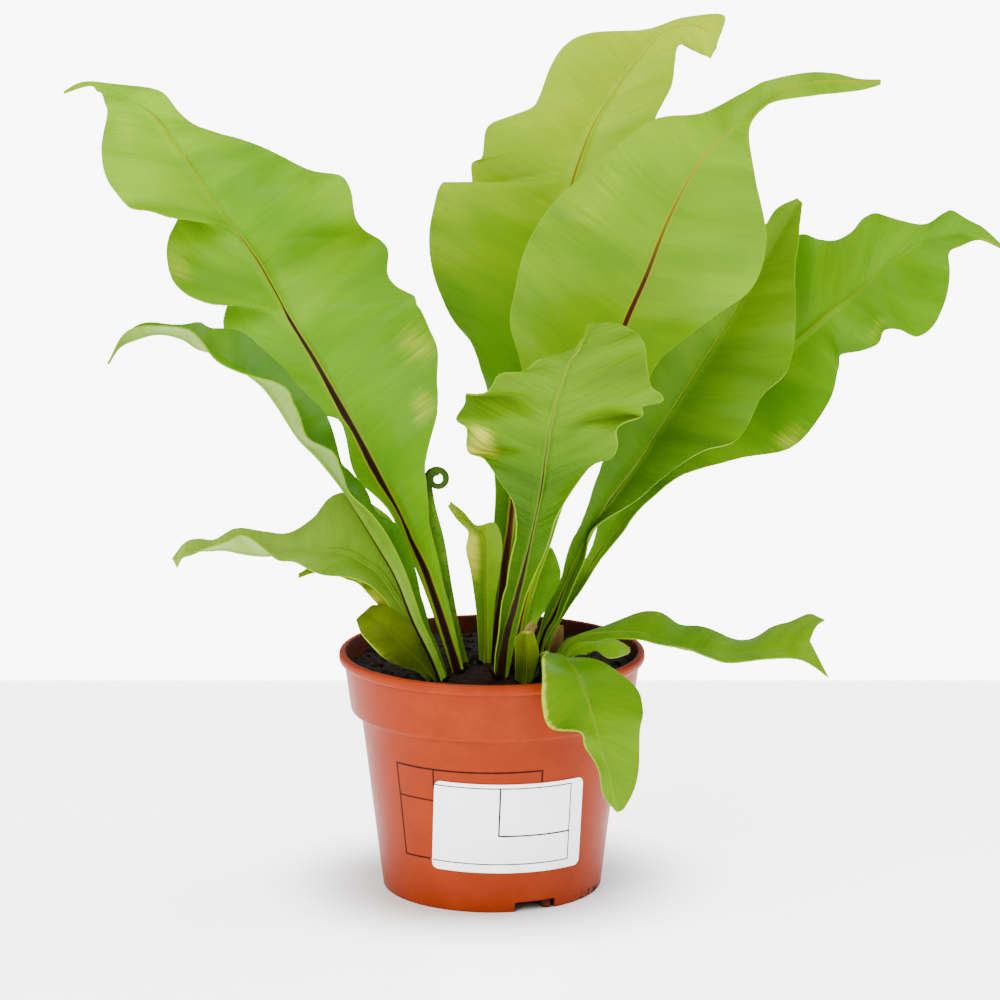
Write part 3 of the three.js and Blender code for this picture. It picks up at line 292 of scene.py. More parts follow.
RIGHT_DARK = [
  [[14, -13, 81], [13, -13, 82], [15, -13, 80]],
  [[19, -12, 101], [18, -14, 102], [21, -14, 101]],
  [[24, -11, 110], [21, -14, 113], [26, -14, 110]],
  [[28, -9, 121], [26, -13, 124], [31, -13, 121]],
  [[34, -7, 134], [30, -12, 137], [36, -11, 134]],
  [[40, -5, 146], [35, -11, 148], [40, -9, 145]],
  [[49, -2, 159], [40, -10, 163], [56, -6, 155]],
  [[58, 1, 171], [44, -9, 175], [66, -5, 164]],
  [[65, 3, 182], [49, -7, 189], [81, -6, 174]],
  [[73, 5, 194], [54, -5, 204], [95, -4, 179]],
  [[81, 7, 206], [61, -2, 219], [104, -4, 195]],
  [[88, 8, 217], [71, 0, 233], [114, -1, 205]],
  [[95, 9, 228], [80, 2, 246], [117, 0, 223]],
  [[102, 10, 241], [92, 4, 257], [117, 3, 238]],
  [[110, 11, 254], [104, 8, 260], [118, 6, 254]],
  [[115, 11, 263], [110, 9, 267], [119, 8, 262]],
  [[119, 11, 270], [118, 10, 271], [120, 11, 269]],
]

RIGHT_FAR = [
  [[20, -6, 81], [19, -6, 82], [21, -6, 80]],
  [[21.5, -5, 101.7], [19.9, -7, 102.9], [23.5, -7, 100.9]],
  [[33.3, -1, 120.4], [31.6, -4, 122.3], [34.7, -5, 119.3]],
  [[41.1, 2, 131.7], [39.1, 0, 135.4], [42.2, 0, 129.8]],
  [[48.6, 6, 140.9], [42.2, 2, 146.5], [50.4, 1, 140.3]],
  [[56.9, 10, 150.9], [49.3, 6, 156.9], [58.6, 4, 150.5]],
  [[69, 15, 165], [62, 12, 179], [72.8, 8, 161.6]],
  [[86, 20, 181], [78, 21, 202], [95.7, 13, 167.8]],
  [[103, 25, 198], [95, 28, 225], [118, 16, 172]],
  [[120.1, 29, 212.1], [111.2, 32, 243], [132.7, 25, 188.4]],
  [[128.4, 31, 218.9], [120.2, 34, 253.4], [136.6, 31, 200.1]],
  [[134, 33, 223.4], [128.4, 38, 251.3], [137.7, 36, 205.3]],
  [[139.1, 34, 226.8], [135.7, 40, 250.6], [145.7, 33, 207.4]],
  [[143.1, 34.5, 229.9], [141.5, 39, 253.9], [152, 29, 210.9]],
  [[147, 35, 233], [145.6, 38, 259.2], [154.1, 27, 216.4]],
  [[150.5, 35, 236.2], [150.5, 36, 261.8], [159.8, 26, 216.9]],
  [[154.1, 36, 239.6], [156.5, 37, 260.1], [167, 26, 214.1]],
  [[157.9, 36, 243.2], [163.7, 38, 258], [173.8, 28, 218.6]],
  [[162.3, 37, 246.6], [170.1, 38, 257.2], [178.9, 34, 228]],
  [[167.4, 37, 249.4], [174.6, 37, 259.3], [180.4, 35, 238.2]],
  [[172.8, 37, 251.4], [177.9, 35, 262.3], [179.6, 33, 246.4]],
  [[178.6, 36, 252.7], [181, 35, 263.1], [184.6, 33, 249.2]],
  [[184.9, 36, 253.1], [186.6, 35, 259.6], [188.6, 34, 251]],
  [[191.7, 34, 252.6], [193.2, 34, 256.2], [193.7, 34, 251]],
  [[200.2, 29, 249.3], [199.4, 29, 250.5], [200.3, 29, 248.2]],
]

RIGHT_LOW = [
  [[20, -14, 81], [19, -14, 82], [21, -14, 80]],
  [[28, -15, 97], [27, -13, 99], [29, -16, 97]],
  [[33, -16, 102], [33, -13, 103], [34, -18, 101]],
  [[39, -17, 104], [39, -12, 105], [40, -20, 103]],
  [[48, -18, 105], [48, -8, 107], [49, -22, 104]],
  [[57, -19, 105], [58, -5, 110], [58, -24, 104]],
  [[66, -23, 103], [66, -6, 111], [66, -29, 103]],
  [[74, -25, 101], [74, -8, 106], [75, -32, 102]],
  [[83, -27, 100], [83, -10, 105], [83, -35, 100]],
  [[91, -29, 99], [93, -12, 102], [91, -37, 98]],
  [[99, -30, 100], [101, -13, 102], [100, -38, 99]],
  [[106, -31, 101], [108, -12, 105], [107, -38, 100]],
  [[114, -32, 102], [116, -12, 108], [116, -38, 100]],
  [[118, -33, 104], [123, -13, 112], [122, -40, 98]],
  [[122, -33, 106], [129, -15, 110], [129, -42, 93]],
]

RIGHT_INNER = [
  [[20, -22, 81], [19, -21, 82], [21, -23, 80]],
  [[30, -25, 98], [29, -23, 99], [31, -27, 97]],
  [[35, -28, 102], [34, -25, 103], [36, -32, 100]],
  [[40, -31, 104], [41, -26, 104], [40, -37, 103]],
  [[44, -33, 104], [46, -27, 105], [44, -40, 101]],
  [[48, -34, 104], [50, -29, 104], [48, -40, 101]],
  [[53, -35, 102], [53, -34, 103], [52, -36, 101]],
]

FRONT_DROOPING = [
  [[13, -25, 81], [12, -26, 82], [14, -24, 80]],
  [[17, -28, 94], [15, -30, 95], [18, -27, 93]],
  [[20, -35, 99], [18, -38, 101], [22, -33, 98]],
  [[25, -45, 103], [21, -51, 106], [29, -41, 101]],
  [[29, -54, 102], [19, -61, 106], [37, -48, 102]],
  [[33, -61, 98], [19, -66, 100], [46, -55, 100]],
  [[36, -65, 91], [19, -68, 90], [55, -60, 94]],
  [[38, -67, 85], [22, -70, 81], [57, -62, 86]],
  [[40, -68, 78], [33, -72, 80], [56, -64, 79]],
  [[42, -69, 71], [35, -71, 74], [56, -65, 69]],
  [[44, -69, 64], [40, -71, 66], [55, -66, 61]],
  [[46, -69, 56], [42, -70, 55], [53, -67, 54]],
  [[48, -69, 48], [47, -69, 48], [50, -69, 49]],
]

FRONT_STUB = [
  [[11, -33, 81], [9, -33, 81], [13, -33, 81]],
  [[13, -36, 93], [9, -37, 93], [16, -37, 93]],
  [[13, -38, 101], [9, -40, 102], [18, -40, 102]],
  [[13, -39, 107], [9, -41, 108], [17, -41, 107]],
  [[13, -39, 111], [11, -40, 111], [16, -40, 111]],
]

BACK_SHORT = [
  [[11, -6, 81], [9, -6, 82], [13, -6, 80]],
  [[13, -4, 95], [11, -5, 96], [15, -5, 94]],
  [[15, 0, 104], [11, -2, 107], [18, -1, 106]],
  [[17, 6, 113], [11, 4, 116], [24, 4, 113]],
  [[19, 12, 120], [12, 12, 125], [27, 11, 121]],
  [[21, 18, 127], [17, 19, 129], [26, 17, 126]],
  [[22, 21, 131], [21, 21, 131], [24, 21, 130]],
]

SCALE_BACK = [
  [[9, -13, 82], [8, -13, 82], [10, -13, 82]],
  [[11, -12, 94], [9, -12, 94], [12, -12, 94]],
  [[13, -11, 102], [11, -11, 103], [15, -11, 102]],
  [[17, -10, 107], [15, -10, 108], [18, -10, 106]],
]

SCALE_RIGHT = [
  [[22, -2, 82], [21, -2, 82], [23, -2, 82]],
  [[24, -2, 94], [22, -2, 94], [26, -2, 94]],
  [[25, -1, 99], [23, -1, 100], [28, -1, 99]],
  [[27, 0, 104], [26, 0, 105], [28, 0, 104]],
]

# How each frond is dressed. rib: half width of its midrib at the root; waves and swing: ripples of a margin;
# arch: bow of each half; pleat: depth of the soft folds along the side veins;
# core: half width of its dark line at shares of the length, where 0.37 is the midrib's own half width;
# dark: where that dark starts to fade and has faded, as shares of the length;
# patches: yellowing spots, and on the tall left frond painted highlights of pale yellow sheen, as (share of
# the length, share across, reach along, reach across, strength)
FRONDS = [
    dict(node="frond_left_tall", finish="green", rows=LEFT_TALL,
         rib=2.1, waves=7, swing=0.5, arch=0.05, pleat=0.36,
         core=[(0, 0.32), (0.14, 0.38), (0.2, 0.42), (0.32, 0.42), (0.41, 0.3), (0.46, 0.22), (0.55, 0.2),
               (0.62, 0.1), (0.8, 0.06)],
         dark=(0.58, 0.78),
         # these four spots are painted highlights, a pale yellow sheen put into the colour
         patches=[(0.47, 0.85, 0.04, 0.22, 0.5), (0.38, 0.85, 0.04, 0.2, 0.55),
                  (0.85, -0.6, 0.06, 0.35, 0.4), (0.62, -0.9, 0.03, 0.22, 0.5)]),
    dict(node="frond_left_curled", finish="dark", rows=LEFT_CURLED,
         rib=1.6, waves=7, swing=1.0, arch=0.03, pleat=0.2,
         core=[(0, 0.22), (0.2, 0.18), (0.4, 0.08), (0.6, 0.06)], dark=(0.4, 0.62)),
    dict(node="frond_left_low", finish="dull", rows=LEFT_LOW,
         rib=1.5, waves=5, swing=1.0, arch=0.03, pleat=0.16,
         core=[(0, 0.15), (0.12, 0.05)], dark=(0.02, 0.12),
         patches=[(0.97, -0.5, 0.05, 0.9, 0.4)]),
    dict(node="frond_left_inner", finish="shaded", rows=LEFT_INNER,
         rib=1.3, waves=2, swing=0.6, arch=0.05, pleat=0.1,
         core=[(0, 0.15), (0.2, 0.05)], dark=(0.05, 0.2),
         patches=[(0.6, -1.0, 0.5, 0.3, 0.35)]),
    dict(node="frond_left_yellow", finish="yellow", rows=LEFT_YELLOW,
         rib=1.3, waves=4, swing=0.8, arch=0.03, pleat=0.12,
         core=[(0, 0.15), (0.3, 0.05)], dark=(0.05, 0.3),
         patches=[(0.45, 0.0, 0.5, 1.5, 0.9)]),
    dict(node="frond_yellowing", finish="yellow", rows=YELLOWING,
         rib=1.5, waves=3, swing=0.5, arch=0.05, pleat=0.12,
         core=[(0, 0.2), (0.95, 0.12)], dark=(0.8, 0.95),
         patches=[(0.68, -0.8, 0.16, 0.5, 1.0), (0.96, -0.5, 0.06, 0.6, 0.5)]),
    dict(node="frond_back_tall", finish="lime", rows=BACK_TALL,
         rib=2.1, waves=6, swing=0.8, arch=0.05, pleat=0.28,
         core=[(0, 0.5), (0.4, 0.36), (0.66, 0.12), (0.9, 0.06)], dark=(0.6, 0.9),
         patches=[(0.97, 0.0, 0.06, 1.2, 0.45)]),
    dict(node="frond_centre_lime", finish="bright", rows=CENTRE_LIME,
         rib=2.1, waves=5, swing=1.4, arch=0.05, pleat=0.24,
         core=[(0, 0.45), (0.45, 0.3), (0.56, 0.22), (0.66, 0.16), (0.8, 0.08)], dark=(0.58, 0.8),
         patches=[(0.66, -0.7, 0.1, 0.4, 0.35)]),
    dict(node="frond_front_middle", finish="olive", rows=FRONT_MIDDLE,
         rib=1.8, waves=7, swing=0.8, arch=0.04, pleat=0.5,
         core=[(0, 0.5), (0.22, 0.46), (0.3, 0.4), (0.37, 0.3), (0.5, 0.2), (0.65, 0.1)], dark=(0.56, 0.8),
         patches=[(0.67, 0.85, 0.04, 0.22, 0.9)]),
    dict(node="frond_right_dark", finish="deep", rows=RIGHT_DARK,
         rib=2.0, waves=6, swing=0.9, arch=0.05, pleat=0.34,
         core=[(0, 0.42), (0.18, 0.38), (0.3, 0.3), (0.38, 0.28), (0.5, 0.12)], dark=(0.36, 0.5)),
    dict(node="frond_right_far", finish="far", rows=RIGHT_FAR,
         rib=1.6, waves=6, swing=0.4, arch=0.04, pleat=0.3,
         core=[(0, 0.34), (0.2, 0.28), (0.3, 0.18), (0.42, 0.08)], dark=(0.3, 0.42),
         patches=[(0.56, 0.9, 0.04, 0.25, 0.5), (0.76, 0.8, 0.04, 0.25, 0.4)]),
    dict(node="frond_right_low", finish="fresh", rows=RIGHT_LOW,
         rib=1.4, waves=4, swing=0.4, arch=0.05, pleat=0.16,
         core=[(0, 0.15), (0.2, 0.07)], dark=(0.05, 0.2)),
    dict(node="frond_right_inner", finish="fresh", rows=RIGHT_INNER,
         rib=1.2, waves=2, swing=0.5, arch=0.05, pleat=0.1,
         core=[(0, 0.15), (0.2, 0.07)], dark=(0.05, 0.2)),
    dict(node="frond_front_drooping", finish="hanging", rows=FRONT_DROOPING,
         rib=1.1, waves=4, swing=0.6, arch=0.05, pleat=0.18,
         core=[(0, 0.1), (0.6, 0.06)], dark=(0.2, 0.6),
         patches=[(0.55, -1.0, 0.4, 0.12, 0.8)]),
    dict(node="frond_front_stub", finish="shaded", rows=FRONT_STUB,
         rib=1.3, waves=1, swing=0.3, arch=0.05, pleat=0.08,
         core=[(0, 0.15), (0.4, 0.1)], dark=(0.1, 0.4),
         patches=[(1.0, 0.0, 0.05, 1.2, 0.6)]),
    dict(node="frond_back_short", finish="far", rows=BACK_SHORT,
         rib=1.3, waves=2, swing=0.5, arch=0.08, pleat=0.12,
         core=[(0, 0.15), (0.6, 0.1)], dark=(0.3, 0.6)),
    dict(node="dry_scale_back", finish="scale", rows=SCALE_BACK,
         rib=0.7, waves=1, swing=0.2, arch=0.05, pleat=0.05,
         core=[(0, 0.15), (0.1, 0.1)], dark=(0.0, 0.1)),
    dict(node="dry_scale_right", finish="scale", rows=SCALE_RIGHT,
         rib=0.7, waves=1, swing=0.2, arch=0.05, pleat=0.05,
         core=[(0, 0.15), (0.1, 0.1)], dark=(0.0, 0.1)),
]

CROZIER_STEM = [
    [-8, -13, 81],
    [-14, -10, 101],
    [-18, -9, 120],
    [-21, -8, 139],
    [-24, -8, 153],
    [-25, -8, 164],
]
CROZIER_ROOT = 1.9
CROZIER_NECK = 1.5
CROZIER_TIP = 0.9
CROZIER_SWELL = 1.1
COIL_RADIUS = 4.0
COIL_END_RADIUS = 2.1
COIL_TURNS = 1.3
STEM_END_RING = 84
COIL_END_RING = 150
CROZIER_SIDES = 16
CREASE_DEPTH = 0.22


def place(x, y, z):
    """A point given in millimetres round the pot, in the shared frame."""
    return Vector((POT_X + x * MM, POT_Y + y * MM, z * MM))


def around(radius, degrees, height):
    """A point on the pot: degrees run from the front towards the right."""
    angle = math.radians(degrees)
    return place(radius * math.sin(angle), -radius * math.cos(angle), height)


def wall_radius(height):
    return FOOT_RADIUS + (WAIST_RADIUS - FOOT_RADIUS) * height / WAIST_HEIGHT


def srgb(red, green, blue):
    """A colour written as on a screen, 0 to 255, as the shader wants it."""
    channels = []
    for value in (red, green, blue):
        share = value / 255
        channels.append(share / 12.92 if share <= 0.04045 else ((share + 0.055) / 1.055) ** 2.4)
    return (*channels, 1.0)


# The camera stands where the photograph was taken from
CAMERA_LENS = 141.55
CAMERA_SENSOR = 36
CAMERA_EYE = (3.16, -1500, 461.3)
CAMERA_AIM = (3.16, 0, 154.1)
camera_data = bpy.data.cameras.new("photo_camera")
camera_data.lens = CAMERA_LENS
camera_data.sensor_width = CAMERA_SENSOR
camera_data.clip_start = 0.1
camera_data.clip_end = 20
camera = bpy.data.objects.new("photo_camera", camera_data)
bpy.context.scene.collection.objects.link(camera)
camera.location = place(*CAMERA_EYE)
sight = place(*CAMERA_AIM) - camera.location
camera.rotation_euler = sight.to_track_quat("-Z", "Y").to_euler()
bpy.context.scene.camera = camera


# Small helpers for modelling by hand
def pick_only(piece):
    if bpy.context.object and bpy.context.object.mode != "OBJECT":
        bpy.ops.object.mode_set(mode="OBJECT")
    bpy.ops.object.select_all(action="DESELECT")
    piece.select_set(True)
    bpy.context.view_layer.objects.active = piece


def apply_modifiers(piece):
    pick_only(piece)
    for modifier in list(piece.modifiers):
        bpy.ops.object.modifier_apply(modifier=modifier.name)


def settle(piece, smooth_angle=35):
    """Puts the piece's place into its mesh and shades it."""
    pick_only(piece)
    bpy.ops.object.transform_apply(location=True, rotation=True, scale=True)
    bpy.ops.object.shade_smooth_by_angle(angle=math.radians(smooth_angle))


def dress(piece, name, material, nodes=()):
    """Names a finished piece, gives it its material and ties it to the shared frame."""
    piece.name = name
    piece.data.name = name
    if material:
        piece.data.materials.clear()
        piece.data.materials.append(material)
    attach(piece, "root")
    if nodes:
        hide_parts(*nodes)


def turned(profile, centre, sides, wobble=None):
    """A closed solid: a circle drawn out ring by ring along (radius, height) pairs in millimetres."""
    radius, height = profile[0]
    middle = place(centre[0], centre[1], height)
    bpy.ops.object.select_all(action="DESELECT")
    bpy.ops.mesh.primitive_circle_add(vertices=sides, radius=radius * MM, fill_type="NGON", location=middle)
    piece = bpy.context.object
    bpy.ops.object.mode_set(mode="EDIT")
    bpy.ops.mesh.select_all(action="SELECT")
    bpy.ops.mesh.flip_normals()
    bpy.ops.mesh.select_mode(type="EDGE")
    bpy.ops.mesh.select_all(action="DESELECT")
    bpy.ops.mesh.select_non_manifold()
    for wide, high in profile[1:]:
        bpy.ops.mesh.extrude_edges_move(TRANSFORM_OT_translate={"value": (0, 0, (high - height) * MM)})
        grow = wide / radius
        here = place(centre[0], centre[1], high)
        bpy.ops.transform.resize(value=(grow, grow, 1), center_override=here)
        radius, height = wide, high
    bpy.ops.mesh.edge_face_add()
    bpy.ops.mesh.select_all(action="SELECT")
    bpy.ops.mesh.normals_make_consistent(inside=False)
    bpy.ops.object.mode_set(mode="OBJECT")
    bpy.ops.object.transform_apply(location=True, rotation=True, scale=True)
    if wobble:
        for vertex in piece.data.vertices:
            vertex.co += wobble(vertex.co)
    return piece


def new_grid(columns, rows):
    bpy.ops.object.select_all(action="DESELECT")
    bpy.ops.mesh.primitive_grid_add(x_subdivisions=columns, y_subdivisions=rows, size=1)
    return bpy.context.object


def thicken(piece, thickness, offset=-1.0):
    """Gives a sheet its thickness, in millimetres."""
    body = piece.modifiers.new("thickness", "SOLIDIFY")
    body.thickness = thickness * MM
    body.offset = offset
    return body


def rounded(piece, width):
    """Rounds the edges of a block by millimetres, once its place and size are in its mesh."""
    soft = piece.modifiers.new("round", "BEVEL")
    soft.width = width * MM
    soft.segments = 4
    pick_only(piece)
    bpy.ops.object.transform_apply(location=True, rotation=True, scale=True)
    apply_modifiers(piece)


def copied(source, change):
    """A copy of a small piece, with its mesh moved by the matrix."""
    copy = source.copy()
    copy.data = source.data.copy()
    bpy.context.scene.collection.objects.link(copy)
    copy.data.transform(change)
    return copy


def cut_away(piece, cutters):
    """Takes the cutters out of the piece."""
    for cutter in cutters:
        cut = piece.modifiers.new("cut", "BOOLEAN")
        cut.object = cutter
        cut.operation = "DIFFERENCE"
    apply_modifiers(piece)
    for cutter in cutters:
        bpy.data.objects.remove(cutter)


def join(pieces):
    """One object from many, under the first one's name."""
    pick_only(pieces[0])
    for piece in pieces:
        piece.select_set(True)
    bpy.ops.object.join()
    return bpy.context.object


# Shader helpers
def node(tree, kind, inputs=(), **settings):
    made = tree.nodes.new(kind)
    for key, value in settings.items():
        setattr(made, key, value)
    for key, value in dict(inputs).items():
        if isinstance(value, bpy.types.NodeSocket):
            tree.links.new(value, made.inputs[key])
        else:
            made.inputs[key].default_value = value
    return made


def maths(tree, operation, first, second=0.0, clamp=False):
    made = node(tree, "ShaderNodeMath", {0: first, 1: second}, operation=operation, use_clamp=clamp)
    return made.outputs[0]


def times(tree, first, second):
    return maths(tree, "MULTIPLY", first, second)


def plus(tree, first, second, clamp=False):
    return maths(tree, "ADD", first, second, clamp)


def minus(tree, first, second):
    return maths(tree, "SUBTRACT", first, second)


def length_of(tree, vector):
    return node(tree, "ShaderNodeVectorMath", {0: vector}, operation="LENGTH").outputs["Value"]


def blended(tree, share, first, second, blend="MIX"):
    """Two colours mixed; a mix node keeps its share and its colours at sockets 0, 6 and 7."""
    inputs = {0: share, 6: first, 7: second}
    return node(tree, "ShaderNodeMix", inputs, data_type="RGBA", blend_type=blend).outputs[2]


def eased(tree, value, start, end):
    """0 before start, 1 after end, smooth between; end may be the smaller one."""
    low, high = min(start, end), max(start, end)
    made = node(tree, "ShaderNodeMapRange", {0: value, 1: low, 2: high}, interpolation_type="SMOOTHSTEP")
    if end > start:
        return made.outputs[0]
    return minus(tree, 1.0, made.outputs[0])


def noise(tree, vector, scale, detail=2.0, roughness=0.5):
    made = node(tree, "ShaderNodeTexNoise",
                {"Vector": vector, "Scale": scale, "Detail": detail, "Roughness": roughness})
    return made.outputs[0]


def new_material(name):
    """An empty material, with its nodes, its shader's sockets and its object coordinates."""
    material = bpy.data.materials.new(name)
    material.use_nodes = True
    tree = material.node_tree
    where = node(tree, "ShaderNodeTexCoord").outputs["Object"]
    return material, tree, tree.nodes["Principled BSDF"].inputs, where


def surface(tree, sockets, colour, roughness, height=None, strength=0.0, depth=0.0):
    """Wires the colour, the roughness and the fine relief into the shader."""
    tree.links.new(colour, sockets["Base Color"])
    tree.links.new(roughness, sockets["Roughness"])
    if height:
        relief = node(tree, "ShaderNodeBump", {"Height": height, "Strength": strength, "Distance": depth})
        tree.links.new(relief.outputs[0], sockets["Normal"])


def new_group(name, takes, gives):
    """An empty shader group with its named inputs and outputs."""
    group = bpy.data.node_groups.new(name, "ShaderNodeTree")
    for key, kind, value in takes:
        socket = group.interface.new_socket(key, in_out="INPUT", socket_type=kind)
        if value is not None:
            socket.default_value = value
    for key, kind in gives:
        group.interface.new_socket(key, in_out="OUTPUT", socket_type=kind)
    entry = group.nodes.new("NodeGroupInput")
    leave = group.nodes.new("NodeGroupOutput")
    return group, entry.outputs, leave.inputs


NUMBER = "NodeSocketFloat"
COLOUR = "NodeSocketColor"
VECTOR = "NodeSocketVector"


# The fronds: a flat grid is laid over three rails, then given its thickness.
# Millimetres, or shares of the midrib's radius at that place where the name says rib
ROW_PITCH = 2.3
MOST_ROWS = 160
FEWEST_ROWS = 14
LONG_FROND = 60
LONG_FROND_COLUMNS = 20
SHORT_FROND_COLUMNS = 12
VEIN_SLANT = 0.45
FOLD_PITCH = 9.5
CRINKLE_PITCH = 4.3
SWEEP_PITCH = 23
FULL_FOLD_WIDTH = 20
RIB_TAPER = 0.62
RIB_SPREAD = 1.35
RIB_MASK_REACH = 2.7
FLAT_UNIT = 0.1


def blade_group():
    """Veins, tone, margin, yellowing and painted sheen, and midrib of a leaf, read along and across it."""
    group, takes, gives = new_group(
        "leaf_blade",
        [("Flat", VECTOR, None), ("Share", VECTOR, None), ("Object", VECTOR, None),
         ("Rib", NUMBER, 1.0), ("Core", NUMBER, 0.3), ("Dark", NUMBER, 0.0), ("Yellowing_and_sheen_mask", NUMBER, 0.0),
         ("Body", COLOUR, None), ("Light", COLOUR, None), ("Shade", COLOUR, None),
         ("Margin", COLOUR, None), ("Yellowing and sheen", COLOUR, None),
         ("Rib dark", COLOUR, None), ("Rib pale", COLOUR, None), ("Veins", NUMBER, 1.0),
         ("Low", NUMBER, 0.5), ("High", NUMBER, 0.3)],
        [("Color", COLOUR), ("Roughness", NUMBER), ("Height", NUMBER)])
    flat = node(group, "ShaderNodeSeparateXYZ", {0: takes["Flat"]}).outputs
    share = node(group, "ShaderNodeSeparateXYZ", {0: takes["Share"]}).outputs
    across = maths(group, "ABSOLUTE", flat[0])
    slant = minus(group, flat[1], times(group, across, VEIN_SLANT))
    fine_place = node(group, "ShaderNodeCombineXYZ",
                      {0: times(group, slant, 75.0), 1: times(group, flat[0], 5.0)})
    broad_place = node(group, "ShaderNodeCombineXYZ",
                       {0: times(group, slant, 7.0), 1: times(group, flat[0], 2.0)})
    fine = noise(group, fine_place.outputs[0], 1.0, 2.0)
    broad = noise(group, broad_place.outputs[0], 1.0, 1.0)
    cloud = noise(group, takes["Object"], 16.0, 2.0)
    # the body tone drifts to the lighter and the deeper one in soft bands along the side veins
    drift = plus(group, times(group, broad, 0.5), times(group, cloud, 0.5))
    lightness = eased(group, drift, 0.42, 0.64)
    deepness = eased(group, drift, 0.5, 0.32)
    body = blended(group, times(group, lightness, 0.6), takes["Body"], takes["Light"])
    body = blended(group, times(group, deepness, 0.7), body, takes["Shade"])
    # a blade is deeper near its stalk, partly its own tone and partly painted shade from the fronds round it,
    # and lighter towards its tip
    low = times(group, eased(group, share[1], 0.78, 0.4), takes["Low"])
    body = blended(group, low, body, takes["Shade"])
    high = times(group, eased(group, share[1], 0.5, 1.0), takes["High"])
    body = blended(group, high, body, takes["Light"])
    # fine parallel veins
    vein = times(group, minus(group, fine, 0.5), takes["Veins"])
    tint = plus(group, times(group, vein, 0.32), 1.0)
    tinted = node(group, "ShaderNodeCombineXYZ", {0: tint, 1: tint, 2: tint})
    body = blended(group, 1.0, body, tinted.outputs[0], "MULTIPLY")
    # the yellowing, and the painted sheen that shares its mask, starts between the veins, so its edge is
    # ragged
    ragged = plus(group, times(group, vein, 1.5), 1.0)
    yellowing_and_sheen_amount = times(group, takes["Yellowing_and_sheen_mask"], ragged)
    body = blended(group, eased(group, yellowing_and_sheen_amount, 0.2, 1.0), body, takes["Yellowing and sheen"])
    # a thin pale line along the margin
    edge = maths(group, "ABSOLUTE", minus(group, share[0], 0.5))
    body = blended(group, eased(group, edge, 0.495, 0.4998), body, takes["Margin"])
    # the midrib: a pale line with a dark one on it that thins and fades towards the tip
    pale_edge = plus(group, takes["Core"], 0.1)
    pale = eased(group, minus(group, pale_edge, takes["Rib"]), -0.06, 0.06)
    body = blended(group, times(group, pale, 0.6), body, takes["Rib pale"])
    dark = eased(group, minus(group, takes["Core"], takes["Rib"]), -0.05, 0.05)
    body = blended(group, times(group, dark, takes["Dark"]), body, takes["Rib dark"])
    group.links.new(body, gives["Color"])
    rough = plus(group, times(group, fine, 0.14), times(group, cloud, 0.16))
    group.links.new(plus(group, rough, 0.24), gives["Roughness"])
    height = times(group, plus(group, vein, broad), minus(group, 1.0, pale))
    group.links.new(height, gives["Height"])
    return group


LEAF_BLADE = blade_group()


# Tones as on a screen, and how leaves carry light
BLACK_RIB = (26, 9, 5)
RED_RIB = (54, 22, 6)
BROWN_RIB = (30, 15, 6)
MARGIN = (100, 130, 6)
# pale yellow of the yellowing spots, also the colour of the painted sheen highlights
YELLOWING_AND_SHEEN = (168, 172, 40)
VEIN_DEPTH = 0.0006
LEAF_GLOW_REACH = (0.8, 1.0, 0.25)
LEAF_GLOW_DEPTH = 0.0012
FAINT_SHINE = 0.05
DAMP_SHINE = 0.1
LEAF_MASKS = ("rib", "core", "dark", "yellowing_and_sheen_mask")


def leaf_material(name, body, light, shade, rib_pale, rib_dark=BLACK_RIB, margin=MARGIN, yellowing_and_sheen=YELLOWING_AND_SHEEN,
                  veins=1.0, bump=0.2, low=0.5, high=0.3, glow=0.25):
    """A leaf's face: its body tone, a lighter and a deeper one, then those of midrib, margin, and spots of
    yellowing and painted sheen.
    """
    material, tree, sockets, where = new_material(name)
    colours = {"Body": body, "Light": light, "Shade": shade, "Margin": margin, "Yellowing and sheen": yellowing_and_sheen,
               "Rib dark": rib_dark, "Rib pale": rib_pale}
    wires = {
        "Flat": node(tree, "ShaderNodeUVMap", uv_map="flat").outputs[0],
        "Share": node(tree, "ShaderNodeUVMap", uv_map="share").outputs[0],
        "Object": where, "Veins": veins, "Low": low, "High": high,
        **{key: srgb(*colour) for key, colour in colours.items()},
        **{mask.capitalize(): node(tree, "ShaderNodeAttribute", attribute_name=mask).outputs["Fac"]
           for mask in LEAF_MASKS},
    }
    blade = node(tree, "ShaderNodeGroup", wires, node_tree=LEAF_BLADE).outputs
    surface(tree, sockets, blade["Color"], blade["Roughness"], blade["Height"], bump, VEIN_DEPTH)
    sockets["Subsurface Weight"].default_value = glow
    sockets["Subsurface Radius"].default_value = LEAF_GLOW_REACH
    sockets["Subsurface Scale"].default_value = LEAF_GLOW_DEPTH
    sockets["Specular IOR Level"].default_value = FAINT_SHINE
    return material


